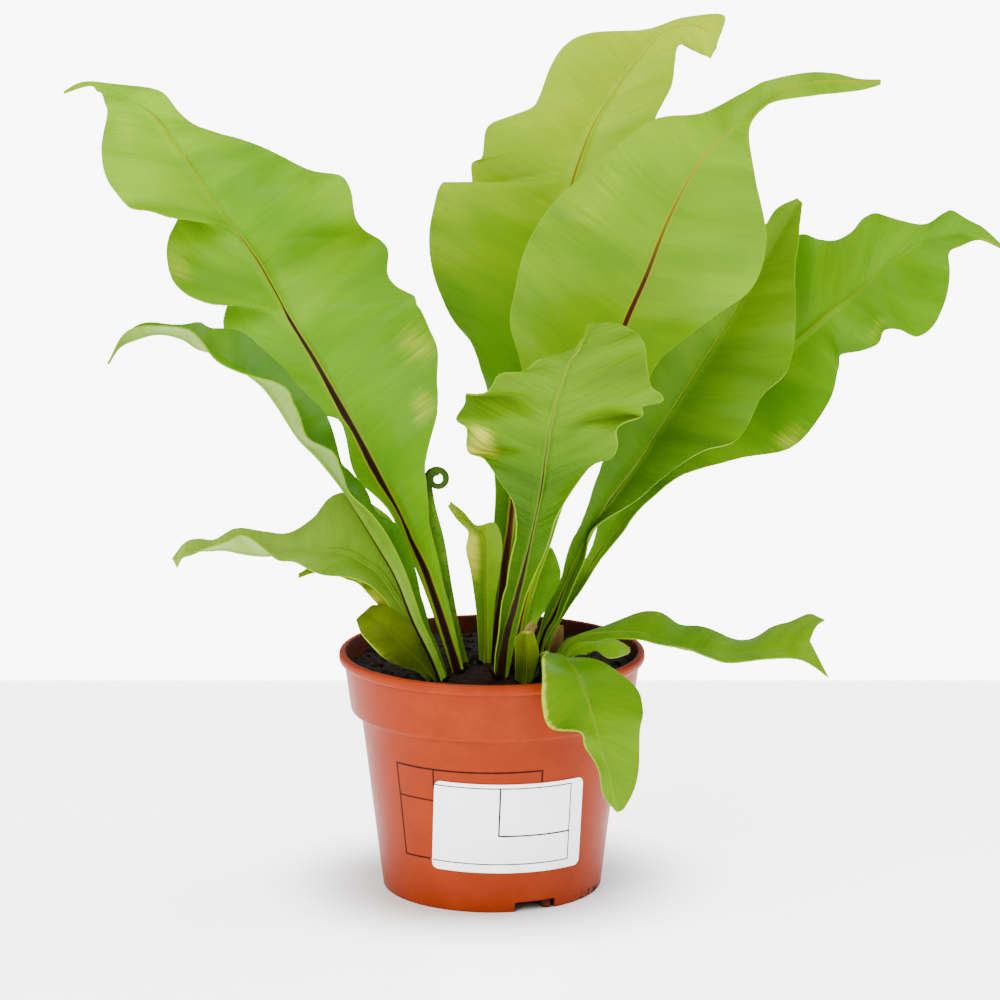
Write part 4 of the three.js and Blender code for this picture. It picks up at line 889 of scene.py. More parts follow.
DRY_BROWN = (84, 56, 24)
UNDER_FACE = {"veins": 1.2, "bump": 0.3}
LEAF_FINISHES = {
    "green": (
        leaf_material("leaf_green", (92, 135, 0), (116, 156, 0), (64, 112, 0), (124, 118, 6), low=0.7,
                      high=0.0),
        leaf_material("leaf_green_under", (88, 122, 12), (104, 136, 24), (70, 106, 4), (110, 116, 30),
                      **UNDER_FACE)),
    "fresh": (
        leaf_material("leaf_fresh", (70, 106, 0), (92, 126, 0), (50, 88, 0), (96, 112, 10)),
        leaf_material("leaf_fresh_under", (88, 120, 24), (106, 136, 40), (68, 102, 8), (120, 126, 40),
                      **UNDER_FACE)),
    "dark": (
        leaf_material("leaf_dark", (54, 98, 0), (72, 114, 0), (38, 82, 0), (84, 106, 8)),
        leaf_material("leaf_dark_under", (90, 122, 28), (110, 140, 46), (70, 104, 8), (110, 126, 40),
                      **UNDER_FACE)),
    "dull": (
        leaf_material("leaf_dull", (95, 127, 28), (112, 142, 40), (74, 112, 10), (108, 124, 24)),
        leaf_material("leaf_dull_under", (100, 128, 38), (116, 142, 54), (80, 112, 20), (110, 120, 40),
                      **UNDER_FACE)),
    "far": (
        leaf_material("leaf_far", (70, 115, 0), (94, 136, 0), (46, 96, 0), (108, 122, 10), low=0.0),
        leaf_material("leaf_far_under", (84, 122, 20), (104, 138, 36), (66, 104, 8), (112, 122, 30),
                      **UNDER_FACE)),
    "lime": (
        leaf_material("leaf_lime", (80, 126, 0), (138, 162, 0), (56, 98, 0), (130, 124, 6), RED_RIB,
                      low=1.0, high=1.0),
        leaf_material("leaf_lime_under", (105, 129, 9), (117, 139, 20), (86, 117, 3), (128, 128, 30),
                      RED_RIB, **UNDER_FACE)),
    "bright": (
        leaf_material("leaf_bright", (87, 125, 0), (111, 143, 0), (64, 105, 0), (132, 122, 6), RED_RIB),
        leaf_material("leaf_bright_under", (105, 129, 9), (117, 139, 20), (86, 117, 3), (128, 128, 30),
                      RED_RIB, **UNDER_FACE)),
    "deep": (
        leaf_material("leaf_deep", (62, 101, 0), (90, 128, 2), (43, 84, 0), (118, 134, 34), low=0.6,
                      high=0.9),
        leaf_material("leaf_deep_under", (75, 114, 0), (90, 126, 7), (59, 98, 0), (118, 134, 44), veins=1.4,
                      bump=0.4)),
    "shaded": (
        leaf_material("leaf_shaded", (68, 82, 0), (84, 100, 0), (44, 64, 0), (84, 96, 16)),
        leaf_material("leaf_shaded_under", (62, 90, 6), (78, 104, 14), (46, 76, 0), (84, 96, 16), veins=1.4,
                      bump=0.4)),
    "olive": (
        leaf_material("leaf_olive", (70, 110, 0), (86, 124, 4), (50, 92, 0), (96, 108, 18), BROWN_RIB),
        leaf_material("leaf_olive_under", (66, 101, 0), (82, 116, 2), (42, 78, 0), (96, 108, 18), BROWN_RIB,
                      veins=1.5, bump=0.45, low=0.8)),
    "yellow": (
        leaf_material("leaf_yellowing", (82, 118, 0), (104, 130, 8), (62, 100, 0), (126, 118, 26)),
        leaf_material("leaf_yellowing_under", (84, 118, 4), (106, 130, 14), (66, 102, 0), (126, 118, 30))),
    "scale": (
        leaf_material("dry_scale", (140, 112, 62), (162, 140, 88), (106, 76, 38), (126, 94, 50), DRY_BROWN,
                      margin=DRY_BROWN, yellowing_and_sheen=DRY_BROWN, glow=0.1),
        leaf_material("dry_scale_under", (132, 104, 56), (152, 130, 78), (100, 70, 34), (126, 94, 50),
                      DRY_BROWN, margin=DRY_BROWN, yellowing_and_sheen=DRY_BROWN, glow=0.1)),
}
# the frond that hangs over the rim shows the glossy face that its rails count as the lower one
LEAF_FINISHES["hanging"] = (LEAF_FINISHES["fresh"][1], LEAF_FINISHES["fresh"][0])


# The fronds
def smooth_through(stations, share):
    """Place and direction on the smooth curve through the stations, at a share of its length by stations."""
    last = len(stations) - 1
    reach = last * share
    index = min(int(reach), last - 1)
    w = reach - index
    before = stations[index - 1] if index > 0 else stations[0] * 2 - stations[1]
    here = stations[index]
    there = stations[index + 1]
    after = stations[index + 2] if index + 2 <= last else stations[last] * 2 - stations[last - 1]
    leave = (there - before) / 2
    arrive = (after - here) / 2
    bend = here * -3 + there * 3 - leave * 2 - arrive
    twist = here * 2 - there * 2 + leave + arrive
    point = here + leave * w + bend * w ** 2 + twist * w ** 3
    direction = leave + bend * (2 * w) + twist * (3 * w ** 2)
    return point, direction.normalized()


def across_shares(rib_radius, width, count):
    """Shares across one half of a frond: close together over the midrib, wider apart on the blade."""
    rib_share = min(0.75, RIB_SPREAD * rib_radius / max(width, 0.01))
    over_rib = [rib_share * k for k in (0.3, 0.6, 0.85, 1.0)]
    steps = count - len(over_rib)
    return over_rib + [rib_share + (1 - rib_share) * (k + 1) / steps for k in range(steps)]


# strength of the yellowing spots and of the painted sheen highlights at a place
def yellowing_and_sheen_at(patches, along, across):
    strength = 0.0
    for middle, side, reach, spread, amount in patches:
        off = ((along - middle) / reach) ** 2 + ((across - side) / spread) ** 2
        strength = max(strength, amount * math.exp(-off))
    return strength


def between_stations(stations, place_along):
    """The value at a place, on straight lines between stations of (place, value)."""
    for (before, low), (after, high) in zip(stations, stations[1:]):
        if place_along <= after:
            return low + (high - low) * (place_along - before) / (after - before)
    return stations[-1][1]


def frond_sheet(frond, seed):
    """The frond's middle surface as a grid, with its thickness, midrib, and yellowing and painted sheen kept
    at each point.
    """
    rows = frond["rows"]
    rails = [[place(*row[k]) for row in rows] for k in range(3)]
    length = sum((a - b).length for a, b in zip(rails[0], rails[0][1:])) / MM
    count = max(FEWEST_ROWS, min(MOST_ROWS, round(length / ROW_PITCH)))
    half_columns = LONG_FROND_COLUMNS if length > LONG_FROND else SHORT_FROND_COLUMNS
    sheet = new_grid(2 * half_columns, count)
    mesh = sheet.data
    mesh.uv_layers[0].name = "share"
    mesh.uv_layers.new(name="flat")
    masks = {mask: [] for mask in LEAF_MASKS}
    for mask in masks:
        mesh.attributes.new(mask, "FLOAT", "POINT")
    thick = 2 * RIB_HEIGHT * frond["rib"]
    weights = sheet.vertex_groups.new(name="thickness")
    shift = random.Random(seed).uniform(0, 6)
    stations = []
    travelled = 0.0
    previous = None
    for i in range(count + 1):
        t = i / count
        middle, along = smooth_through(rails[0], t)
        margins = [smooth_through(rails[k], t)[0] for k in (1, 2)]
        if previous is not None:
            travelled += (middle - previous).length
        previous = middle
        rib_radius = frond["rib"] * (1 - RIB_TAPER * t)
        halves = []
        for side, margin in zip((-1, 1), margins):
            reach = margin - middle
            width = reach.length
            out = (reach.cross(along) * (1 if side > 0 else -1)).normalized()
            shares = [0.0] + across_shares(rib_radius, width / MM, half_columns)
            halves.append((side, reach, width, out, shares))
        stations.append((t, middle, along, rib_radius, travelled, halves))
    whole = travelled
    flat_places = []
    share_places = []
    for vertex in mesh.vertices:
        column = round(vertex.co.x * 2 * half_columns)
        row = round((vertex.co.y + 0.5) * count)
        t, middle, along, rib_radius, travelled, halves = stations[row]
        side, reach, width, out, shares = halves[1 if column >= 0 else 0]
        share = shares[abs(column)]
        spread = min(1.0, width / MM / FULL_FOLD_WIDTH)
        phase = 0 if side < 0 else 2
        ripple = frond["swing"] * spread * share ** 2 * math.sin(2 * math.pi * frond["waves"] * t + phase)
        bulge = frond["arch"] * width / MM * math.sin(math.pi * share)
        # soft folds, crinkles and broad waves, all along the side veins and none quite even
        slant = (travelled - VEIN_SLANT * share * width) / MM
        fold = math.sin(2 * math.pi * slant / FOLD_PITCH + shift + 1.1 * math.sin(slant / 17 + side))
        crinkle = math.sin(2 * math.pi * slant / CRINKLE_PITCH + 2 * shift)
        sweep = math.sin(2 * math.pi * slant / SWEEP_PITCH + 3 * shift + 1.4 * math.sin(slant / 31 - side))
        pleat = fold * share * (1.3 - share) * 2 + 0.35 * crinkle * share ** 6 + 2.4 * sweep * share ** 1.5
        pleat *= frond["pleat"] * spread
        vertex.co = middle + reach * share + out * ((ripple + bulge + pleat) * MM)
        off = min(1.0, share * width / MM / (rib_radius * RIB_SPREAD))
        half = max(BLADE / 2, rib_radius * RIB_HEIGHT * math.sqrt(1 - off ** 2))
        weights.add([vertex.index], min(1.0, 2 * half / thick), "REPLACE")
        fade_from, fade_to = frond["dark"]
        gone = travelled / whole
        fade = min(1.0, max(0.0, (gone - fade_from) / (fade_to - fade_from)))
        masks["rib"].append(min(1.0, share * width / MM / (rib_radius * RIB_MASK_REACH)))
        masks["core"].append(between_stations(frond["core"], gone))
        masks["dark"].append(1 - fade)
        masks["yellowing_and_sheen_mask"].append(yellowing_and_sheen_at(frond.get("patches", []), gone, share * side))
        flat_places.append((side * share * width / FLAT_UNIT, travelled / FLAT_UNIT))
        share_places.append((0.5 + side * share / 2, gone))
    for mask, values in masks.items():
        mesh.attributes[mask].data.foreach_set("value", values)
    corners = [loop.vertex_index for loop in mesh.loops]
    for layer, places in (("flat", flat_places), ("share", share_places)):
        values = [value for corner in corners for value in places[corner]]
        mesh.uv_layers[layer].uv.foreach_set("vector", values)
    return sheet, thick


def make_frond(frond, seed):
    """Gives the sheet its thickness, with one finish on its upper face and another under it."""
    sheet, thick = frond_sheet(frond, seed)
    upper, under = LEAF_FINISHES[frond["finish"]]
    sheet.data.materials.append(upper)
    sheet.data.materials.append(under)
    faces = len(sheet.data.polygons)
    body = thicken(sheet, thick, -0.2)
    body.vertex_group = "thickness"
    body.use_even_offset = False
    apply_modifiers(sheet)
    for polygon in sheet.data.polygons:
        polygon.material_index = 1 if faces <= polygon.index < 2 * faces else 0
    sheet.vertex_groups.clear()
    settle(sheet, 60)
    dress(sheet, frond["node"] + "_leaf", None, (frond["node"],))


for number, frond in enumerate(FRONDS):
    make_frond(frond, number)


# The young frond: a swollen, folded stalk that rolls up at its tip
def make_crozier():
    stem = [place(*station) for station in CROZIER_STEM]
    neck = stem[-1]
    centre = neck + Vector((COIL_RADIUS * MM, 0, 0))
    steps, stem_steps, sides = COIL_END_RING, STEM_END_RING, CROZIER_SIDES
    rings = []
    for i in range(steps + 1):
        if i <= stem_steps:
            u = i / stem_steps
            middle = smooth_through(stem, u)[0]
            radius = CROZIER_ROOT + (CROZIER_NECK - CROZIER_ROOT) * u
            wide = radius + CROZIER_SWELL * math.sin(math.pi * u)
        else:
            u = (i - stem_steps) / (steps - stem_steps)
            turn = -2 * math.pi * COIL_TURNS * u
            reach = COIL_RADIUS + (COIL_END_RADIUS - COIL_RADIUS) * u
            middle = centre + Vector((-reach * math.cos(turn), 0, -reach * math.sin(turn))) * MM
            radius = CROZIER_NECK + (CROZIER_TIP - CROZIER_NECK) * u
            wide = radius
        rings.append((middle, radius * MM, wide * MM))
    # the rolled tube needs its rings placed one by one, so its grid is closed round the stalk
    piece = new_grid(sides, steps)
    for vertex in piece.data.vertices:
        column = round((vertex.co.x + 0.5) * sides)
        row = round((vertex.co.y + 0.5) * steps)
        middle, radius, wide = rings[row]
        before = rings[max(0, row - 1)][0]
        after = rings[min(steps, row + 1)][0]
        along = (after - before).normalized()
        side = along.cross(Vector((0, 1, 0))).normalized()
        back = side.cross(along).normalized()
        angle = -2 * math.pi * column / sides
        crease = 1 - CREASE_DEPTH * math.exp(-30 * math.cos(angle) ** 2) * (math.sin(angle) < 0)
        sideways = side * (wide * math.cos(angle) * crease)
        backwards = back * (radius * math.sin(angle) * crease)
        vertex.co = middle + sideways + backwards
    bpy.ops.object.mode_set(mode="EDIT")
    bpy.ops.mesh.select_all(action="SELECT")
    bpy.ops.mesh.remove_doubles(threshold=0.00002)
    bpy.ops.mesh.select_all(action="DESELECT")
    bpy.ops.mesh.select_non_manifold()
    bpy.ops.mesh.fill()
    bpy.ops.mesh.select_all(action="SELECT")
    bpy.ops.mesh.normals_make_consistent(inside=False)
    bpy.ops.object.mode_set(mode="OBJECT")
    settle(piece, 60)
    return piece


def stalk_material():
    """Green of a young stalk, with brown scurf towards its foot and in its coil."""
    material, tree, sockets, where = new_material("young_stalk")
    height = node(tree, "ShaderNodeSeparateXYZ", {0: where}).outputs[2]
    scurf = noise(tree, where, 900.0, 3.0)
    drift = noise(tree, where, 60.0, 2.0)
    low = eased(tree, height, 0.115, 0.09)
    body = blended(tree, eased(tree, drift, 0.35, 0.65), srgb(64, 110, 6), srgb(90, 132, 22))
    body = blended(tree, eased(tree, height, 0.152, 0.162), body, srgb(40, 68, 10))
    spots = plus(tree, times(tree, low, 0.5), eased(tree, scurf, 0.55, 0.68), clamp=True)
    body = blended(tree, times(tree, spots, 0.6), body, srgb(60, 44, 16))
    surface(tree, sockets, body, plus(tree, times(tree, scurf, 0.3), 0.35), scurf, 0.35, 0.0003)
    sockets["Specular IOR Level"].default_value = FAINT_SHINE
    return material


dress(make_crozier(), "frond_crozier_leaf", stalk_material(), ("frond_crozier",))


# Effects shared by the pot and label
def grain_group():
    """A fine moulded grain with slow drifts of tone."""
    group, takes, gives = new_group(
        "moulded_grain",
        [("Object", VECTOR, None), ("Body", COLOUR, None), ("Light", COLOUR, None), ("Shade", COLOUR, None)],
        [("Color", COLOUR), ("Roughness", NUMBER), ("Height", NUMBER)])
    drift = noise(group, takes["Object"], 22.0, 3.0)
    grain = noise(group, takes["Object"], 2400.0, 2.0)
    smear = noise(group, takes["Object"], 90.0, 4.0, 0.65)
    body = blended(group, eased(group, drift, 0.4, 0.68), takes["Body"], takes["Light"])
    body = blended(group, eased(group, smear, 0.62, 0.4), body, takes["Shade"])
    group.links.new(body, gives["Color"])
    rough = plus(group, times(group, smear, 0.22), times(group, grain, 0.08))
    group.links.new(plus(group, rough, 0.26), gives["Roughness"])
    group.links.new(plus(group, grain, times(group, smear, 0.6)), gives["Height"])
    return group


def soil_group():
    """Specks and smears of soil, thick where Amount is near 1."""
    group, takes, gives = new_group(
        "soil_marks",
        [("Object", VECTOR, None), ("Color", COLOUR, None),
         ("Roughness", NUMBER, 0.4), ("Amount", NUMBER, 0.5)],
        [("Color", COLOUR), ("Roughness", NUMBER), ("Mask", NUMBER)])
    specks = noise(group, takes["Object"], 900.0, 2.0, 0.6)
    smears = noise(group, takes["Object"], 140.0, 4.0, 0.7)
    pile = plus(group, times(group, specks, 0.55), times(group, smears, 0.45))
    level = minus(group, 0.82, times(group, takes["Amount"], 0.42))
    mask = eased(group, minus(group, pile, level), 0.0, 0.045)
    soil = blended(group, smears, srgb(22, 13, 9), srgb(58, 34, 21))
    group.links.new(blended(group, mask, takes["Color"], soil), gives["Color"])
    dull = times(group, mask, 0.45)
    group.links.new(plus(group, takes["Roughness"], dull, clamp=True), gives["Roughness"])
    group.links.new(mask, gives["Mask"])
    return group


MOULDED_GRAIN = grain_group()
SOIL_MARKS = soil_group()


# Slopes of the middle of the wall and of the collar, and where the collar's line meets the floor, in metres
WALL_SLOPE = 0.12
COLLAR_SLOPE = 0.131
COLLAR_START = 0.0454


def grained(tree, where, body, light, shade):
    """The moulded grain in three tones."""
    tones = {"Body": srgb(*body), "Light": srgb(*light), "Shade": srgb(*shade)}
    return node(tree, "ShaderNodeGroup", {"Object": where, **tones}, node_tree=MOULDED_GRAIN).outputs


def round_pot(tree, where):
    """Object coordinates counted from the pot's axis."""
    return node(tree, "ShaderNodeMapping", {"Vector": where, "Location": (-POT_X, -POT_Y, 0)}).outputs[0]


def pot_material():
    """Satin terracotta-coloured plastic, deep brown inside from compost stain and painted shade, soiled
    inside and at the foot, with a few soil marks all over.
    """
    material, tree, sockets, where = new_material("terracotta_plastic")
    centred = round_pot(tree, where)
    parts = node(tree, "ShaderNodeSeparateXYZ", {0: centred}).outputs
    grain = grained(tree, where, (124, 40, 11), (127, 42, 13), (120, 38, 10))
    ring = node(tree, "ShaderNodeVectorMath", {0: centred}, operation="MULTIPLY")
    ring.inputs[1].default_value = (1, 1, 0)
    radius = length_of(tree, ring.outputs[0])
    # the inner face is everything nearer the axis than the middle of the wall at that height
    lower = plus(tree, times(tree, parts[2], WALL_SLOPE), (FOOT_RADIUS - WALL / 2) * MM)
    upper = plus(tree, times(tree, parts[2], COLLAR_SLOPE), COLLAR_START)
    in_collar = maths(tree, "GREATER_THAN", parts[2], (COLLAR_FOOT_HEIGHT + 0.2) * MM)
    step = times(tree, minus(tree, upper, lower), in_collar)
    wall = plus(tree, lower, step)
    inside = eased(tree, minus(tree, wall, radius), -0.0003, 0.0003)
    foot = eased(tree, parts[2], 0.011, 0.0)
    right = eased(tree, parts[0], 0.028, 0.04)
    low = times(tree, foot, plus(tree, times(tree, right, 0.3), 0.56))
    amount = maths(tree, "MAXIMUM", times(tree, inside, 0.8), low)
    amount = maths(tree, "MAXIMUM", amount, 0.3)
    # the inner face is turned a deep brown: partly a stain from the wet compost, partly painted shade inside
    # the rim
    stain_and_shade = blended(tree, times(tree, inside, 0.82), grain["Color"], srgb(46, 18, 9))
    soiled = node(tree, "ShaderNodeGroup", {"Object": where, "Color": stain_and_shade,
                                            "Roughness": grain["Roughness"], "Amount": amount},
                  node_tree=SOIL_MARKS).outputs
    lift = plus(tree, times(tree, soiled["Mask"], 2.0), grain["Height"])
    surface(tree, sockets, soiled["Color"], soiled["Roughness"], lift, 0.12, 0.0004)
    sockets["Specular IOR Level"].default_value = FAINT_SHINE
    return material


def upright_post(spot, radius, height, sides):
    bpy.ops.object.select_all(action="DESELECT")
    bpy.ops.mesh.primitive_cylinder_add(vertices=sides, radius=radius * MM, depth=height * MM, location=spot)
    return bpy.context.object


def make_pot():
    profile = [
        (FOOT_RADIUS - FOOT_RING_WIDTH - 0.8, FLOOR_UNDERSIDE),
        (FOOT_RADIUS - FOOT_RING_WIDTH - 0.6, 0.5),
        (FOOT_RADIUS - FOOT_RING_WIDTH, 0),
        (FOOT_RADIUS - 0.5, 0),
        (FOOT_RADIUS - 0.1, 0.2),
        (FOOT_RADIUS + 0.1, 0.7),
        (FOOT_RADIUS + 0.35, 3.0),
        (WAIST_RADIUS - 0.5, WAIST_HEIGHT - 4),
        (WAIST_RADIUS, WAIST_HEIGHT),
        (WAIST_RADIUS + 0.3, WAIST_HEIGHT + 0.7),
        (WAIST_RADIUS + 1.2, WAIST_HEIGHT + 1.3),
        (COLLAR_FOOT_RADIUS - 1.6, COLLAR_FOOT_HEIGHT - 0.5),
        (COLLAR_FOOT_RADIUS - 0.6, COLLAR_FOOT_HEIGHT - 0.2),
        (COLLAR_FOOT_RADIUS - 0.1, COLLAR_FOOT_HEIGHT + 0.4),
        (COLLAR_FOOT_RADIUS + 0.1, COLLAR_FOOT_HEIGHT + 1.4),
        (COLLAR_TOP_RADIUS, POT_HEIGHT - BEAD_HEIGHT - 0.9),
        (RIM_RADIUS - 0.9, POT_HEIGHT - BEAD_HEIGHT - 0.5),
        (RIM_RADIUS - 0.3, POT_HEIGHT - BEAD_HEIGHT),
        (RIM_RADIUS, POT_HEIGHT - BEAD_HEIGHT + 0.7),
        (RIM_RADIUS, POT_HEIGHT - 1.1),
        (RIM_RADIUS - 0.3, POT_HEIGHT - 0.4),
        (RIM_RADIUS - 0.9, POT_HEIGHT),
        (COLLAR_TOP_RADIUS + 0.1, POT_HEIGHT),
        (COLLAR_TOP_RADIUS - 0.6, POT_HEIGHT - 0.3),
        (COLLAR_TOP_RADIUS - 1.0, POT_HEIGHT - 1.1),
        (COLLAR_TOP_RADIUS - WALL, POT_HEIGHT - BEAD_HEIGHT),
        (COLLAR_FOOT_RADIUS - WALL, COLLAR_FOOT_HEIGHT + 1.6),
        (WAIST_RADIUS - WALL, WAIST_HEIGHT - 0.5),
        (wall_radius(FLOOR_TOP) - WALL, FLOOR_TOP + 0.6),
        (wall_radius(FLOOR_TOP) - WALL - 0.6, FLOOR_TOP),
    ]
    pot = turned(profile, (0, 0), POT_SIDES)
    cutters = []
    for k in range(DRAIN_COUNT):
        spot = around(DRAIN_RING, NOTCH_ANGLES[0] + k * 360 / DRAIN_COUNT, (FLOOR_UNDERSIDE + FLOOR_TOP) / 2)
        cutters.append(upright_post(spot, DRAIN_RADIUS, DRAIN_DEPTH, 40))
    for degrees in NOTCH_ANGLES:
        middle = around(FOOT_RADIUS, degrees, (NOTCH_HEIGHT - NOTCH_SPARE) / 2)
        bpy.ops.mesh.primitive_cube_add(size=1, location=middle)
        notch = bpy.context.object
        notch.scale = (NOTCH_WIDTH * MM, NOTCH_REACH * MM, (NOTCH_HEIGHT + NOTCH_SPARE) * MM)
        notch.rotation_euler = (0, 0, math.radians(degrees))
        rounded(notch, 0.8)
        cutters.append(notch)
    cut_away(pot, cutters)
    settle(pot, 32)
    return pot


def foot_posts():
    """The rounded corner beside each notch, where the foot ring turns inwards."""
    posts = []
    for degrees in NOTCH_ANGLES:
        edge = degrees + math.degrees(NOTCH_WIDTH / 2 / FOOT_RADIUS) - POST_TURN
        post = upright_post(around(FOOT_RADIUS - POST_INSET, edge, POST_MIDDLE), POST_RADIUS, POST_HEIGHT, 32)
        rounded(post, 0.7)
        settle(post, 40)
        posts.append(post)
    return posts


terracotta = pot_material()
pot = join([make_pot(), *foot_posts()])
dress(pot, "pot_shell", terracotta, ("pot",))


# Flat things on the wall: the label, and the plain ruled lines on it and on the pot, by their half widths
LABEL_COLUMNS = 72
LABEL_ROWS = 24
LABEL_LIFT = 0.12
LABEL_THICKNESS = 0.22
LABEL_LINE_LIFT = 0.36
WALL_LINE_LIFT = 0.05
LABEL_LINE_PITCH = 1.5
WALL_LINE_PITCH = 2
INK_THICKNESS = 0.02
OUTER_LINE = 0.23
INNER_LINE = 0.32
WALL_LINE = 0.33
FINE_WALL_LINE = 0.27


def wrapped(across, up, lift):
    """A point of the label: millimetres across and up from its middle, lifted off the wall."""
    turn = math.radians(LABEL_TILT)
    height = LABEL_MIDDLE + up * math.cos(turn) + across * math.sin(turn)
    along = across * math.cos(turn) - up * math.sin(turn)
    radius = wall_radius(height)
    return around(radius + lift, LABEL_ANGLE + math.degrees(along / radius), height)


def label_sheet():
    """The sticker: a grid bent round the wall, with its corners rounded by its columns."""
    label = new_grid(LABEL_COLUMNS, LABEL_ROWS)
    half_width, half_height = LABEL_WIDTH / 2, LABEL_HEIGHT / 2
    inner = half_width - LABEL_CORNER
    for vertex in label.data.vertices:
        share = max(-1.0, min(1.0, vertex.co.x * 2))
        across = half_width * math.sin(math.pi / 2 * share)
        past = min(LABEL_CORNER, max(0.0, abs(across) - inner))
        cut = LABEL_CORNER - math.sqrt(max(0.0, LABEL_CORNER ** 2 - past ** 2))
        up = vertex.co.y * 2 * (half_height - cut)
        vertex.co = wrapped(across, up, LABEL_LIFT)
    thicken(label, LABEL_THICKNESS, 1.0)
    apply_modifiers(label)
    settle(label, 40)
    return label


def on_label(across, up):
    return wrapped(across, up, LABEL_LINE_LIFT)


def strip(points, half):
    """A thin ruled line through points that are (place, direction of its breadth)."""
    count = len(points) - 1
    line = new_grid(count, 1)
    for vertex in line.data.vertices:
        spot, upward = points[round((vertex.co.x + 0.5) * count)]
        vertex.co = spot + upward * (half * MM if vertex.co.y > 0 else -half * MM)
    thicken(line, INK_THICKNESS, 1.0)
    apply_modifiers(line)
    return line


def label_line(start, end, half):
    """A straight ruled line on the label between two (across, up) pairs."""
    steps = max(1, round(math.dist(start, end) / LABEL_LINE_PITCH))
    points = []
    tilt = Vector((end[0] - start[0], end[1] - start[1])).normalized()
    for i in range(steps + 1):
        share = i / steps
        x = start[0] + (end[0] - start[0]) * share
        y = start[1] + (end[1] - start[1]) * share
        above = on_label(x - tilt.y * 0.5, y + tilt.x * 0.5)
        below = on_label(x + tilt.y * 0.5, y - tilt.x * 0.5)
        points.append((on_label(x, y), (above - below).normalized()))
    return strip(points, half)


def on_wall(degrees, height):
    """A point just off the pot's wall: degrees from the front, and height."""
    return around(wall_radius(height) + WALL_LINE_LIFT, degrees, height)


label_lines = [
    label_line((-30.6, 16.5), (24.7, 16.5), OUTER_LINE),
    label_line((24.7, 16.6), (24.5, -14.7), OUTER_LINE),
    label_line((-30.6, -14.7), (24.6, -14.7), OUTER_LINE),
    label_line((-4.65, 16.5), (-4.65, -3.0), INNER_LINE),
    label_line((-4.75, -3.0), (24.6, -3.0), INNER_LINE),
]


def wall_line(start, end, half):
    """A printed line on the pot between two (degrees, height) pairs."""
    steps = max(1, round(max(abs(end[0] - start[0]), abs(end[1] - start[1])) / WALL_LINE_PITCH))
    points = []
    upright = abs(end[0] - start[0]) < 4
    for i in range(steps + 1):
        share = i / steps
        degrees = start[0] + (end[0] - start[0]) * share
        height = start[1] + (end[1] - start[1]) * share
        beside = on_wall(degrees - 1, height) - on_wall(degrees + 1, height)
        above = on_wall(degrees, height + 1) - on_wall(degrees, height - 1)
        points.append((on_wall(degrees, height), (beside if upright else above).normalized()))
    return strip(points, half)


pot_lines = [
    wall_line((-47.2, 57.8), (22.9, 57.8), WALL_LINE),
    wall_line((22.9, 57.9), (22.9, 53.0), WALL_LINE),
    wall_line((-47.0, 57.9), (-46.6, 20.5), WALL_LINE),
    wall_line((-46.7, 20.5), (-31.4, 20.8), WALL_LINE),
    wall_line((-26.8, 57.8), (-27.2, 45.0), FINE_WALL_LINE),
    wall_line((-46.9, 45.0), (-27.2, 45.0), FINE_WALL_LINE),
]


def paper_material():
    """White sticker paper with the faintest fibre."""
    material, tree, sockets, where = new_material("white_label")
    grain = grained(tree, where, (250, 251, 252), (253, 253, 253), (245, 246, 248))
    surface(tree, sockets, grain["Color"], grain["Roughness"], grain["Height"], 0.04, 0.0002)
    return material


def ink_material(name, thin, thick):
    """Printed ink that is a little uneven."""
    material, tree, sockets, where = new_material(name)
    uneven = noise(tree, where, 700.0, 3.0)
    tone = blended(tree, eased(tree, uneven, 0.35, 0.65), srgb(*thick), srgb(*thin))
    surface(tree, sockets, tone, plus(tree, times(tree, uneven, 0.3), 0.4))
    sockets["Specular IOR Level"].default_value = FAINT_SHINE
    return material


dress(label_sheet(), "label_sticker", paper_material(), ("label",))
label_ink = ink_material("label_ink", (34, 36, 38), (12, 13, 14))
pot_ink = ink_material("pot_ink", (44, 14, 8), (26, 8, 5))
label_rules = join(label_lines)
settle(label_rules, 40)
dress(label_rules, "label_ruled_lines", label_ink)
pot_rules = join(pot_lines)
settle(pot_rules, 40)
dress(pot_rules, "pot_printed_lines", pot_ink)


# The compost: a bumpy bed with crumbs, and the scaly crown in it
BED_RADIUS = 55.2
BED_EDGE = 56
BED_SEED = 11
CRUMB_COUNT = 620
CRUMB_SHAPES = 6
SCALES_A_STALK = 9


def compost_material():
    material, tree, sockets, where = new_material("peat_compost")
    crumbs = noise(tree, where, 420.0, 4.0, 0.65)
    damp = noise(tree, where, 70.0, 3.0)
    body = blended(tree, eased(tree, crumbs, 0.35, 0.7), srgb(6, 4, 3), srgb(32, 20, 14))
    fibre = eased(tree, noise(tree, where, 1500.0, 1.0), 0.7, 0.76)
    body = blended(tree, times(tree, fibre, 0.7), body, srgb(112, 80, 48))
    surface(tree, sockets, body, plus(tree, times(tree, damp, 0.4), 0.55), crumbs, 0.9, 0.0012)
    sockets["Specular IOR Level"].default_value = DAMP_SHINE
    return material


def bed_height(x, y):
    """Height of the compost in millimetres at a place round the pot's axis."""
    bump = math.sin(x * 0.31 + 1.3) * math.cos(y * 0.37) + 0.6 * math.sin(x * 0.83 - y * 0.71)
    return COMPOST_LEVEL + 0.7 * bump


def bed_wobble(spot):
    x, y, z = (spot.x - POT_X) / MM, (spot.y - POT_Y) / MM, spot.z / MM
    if z < COMPOST_LEVEL - 0.5:
        return Vector((0, 0, 0))
    small = 0.5 * math.sin(x * 1.9 + 0.4 * y) * math.sin(y * 2.3 - 0.3 * x)
    small += 0.3 * math.sin(x * 4.1 + y * 3.3)
    return Vector((0, 0, (bed_height(x, y) - COMPOST_LEVEL + small) * MM))


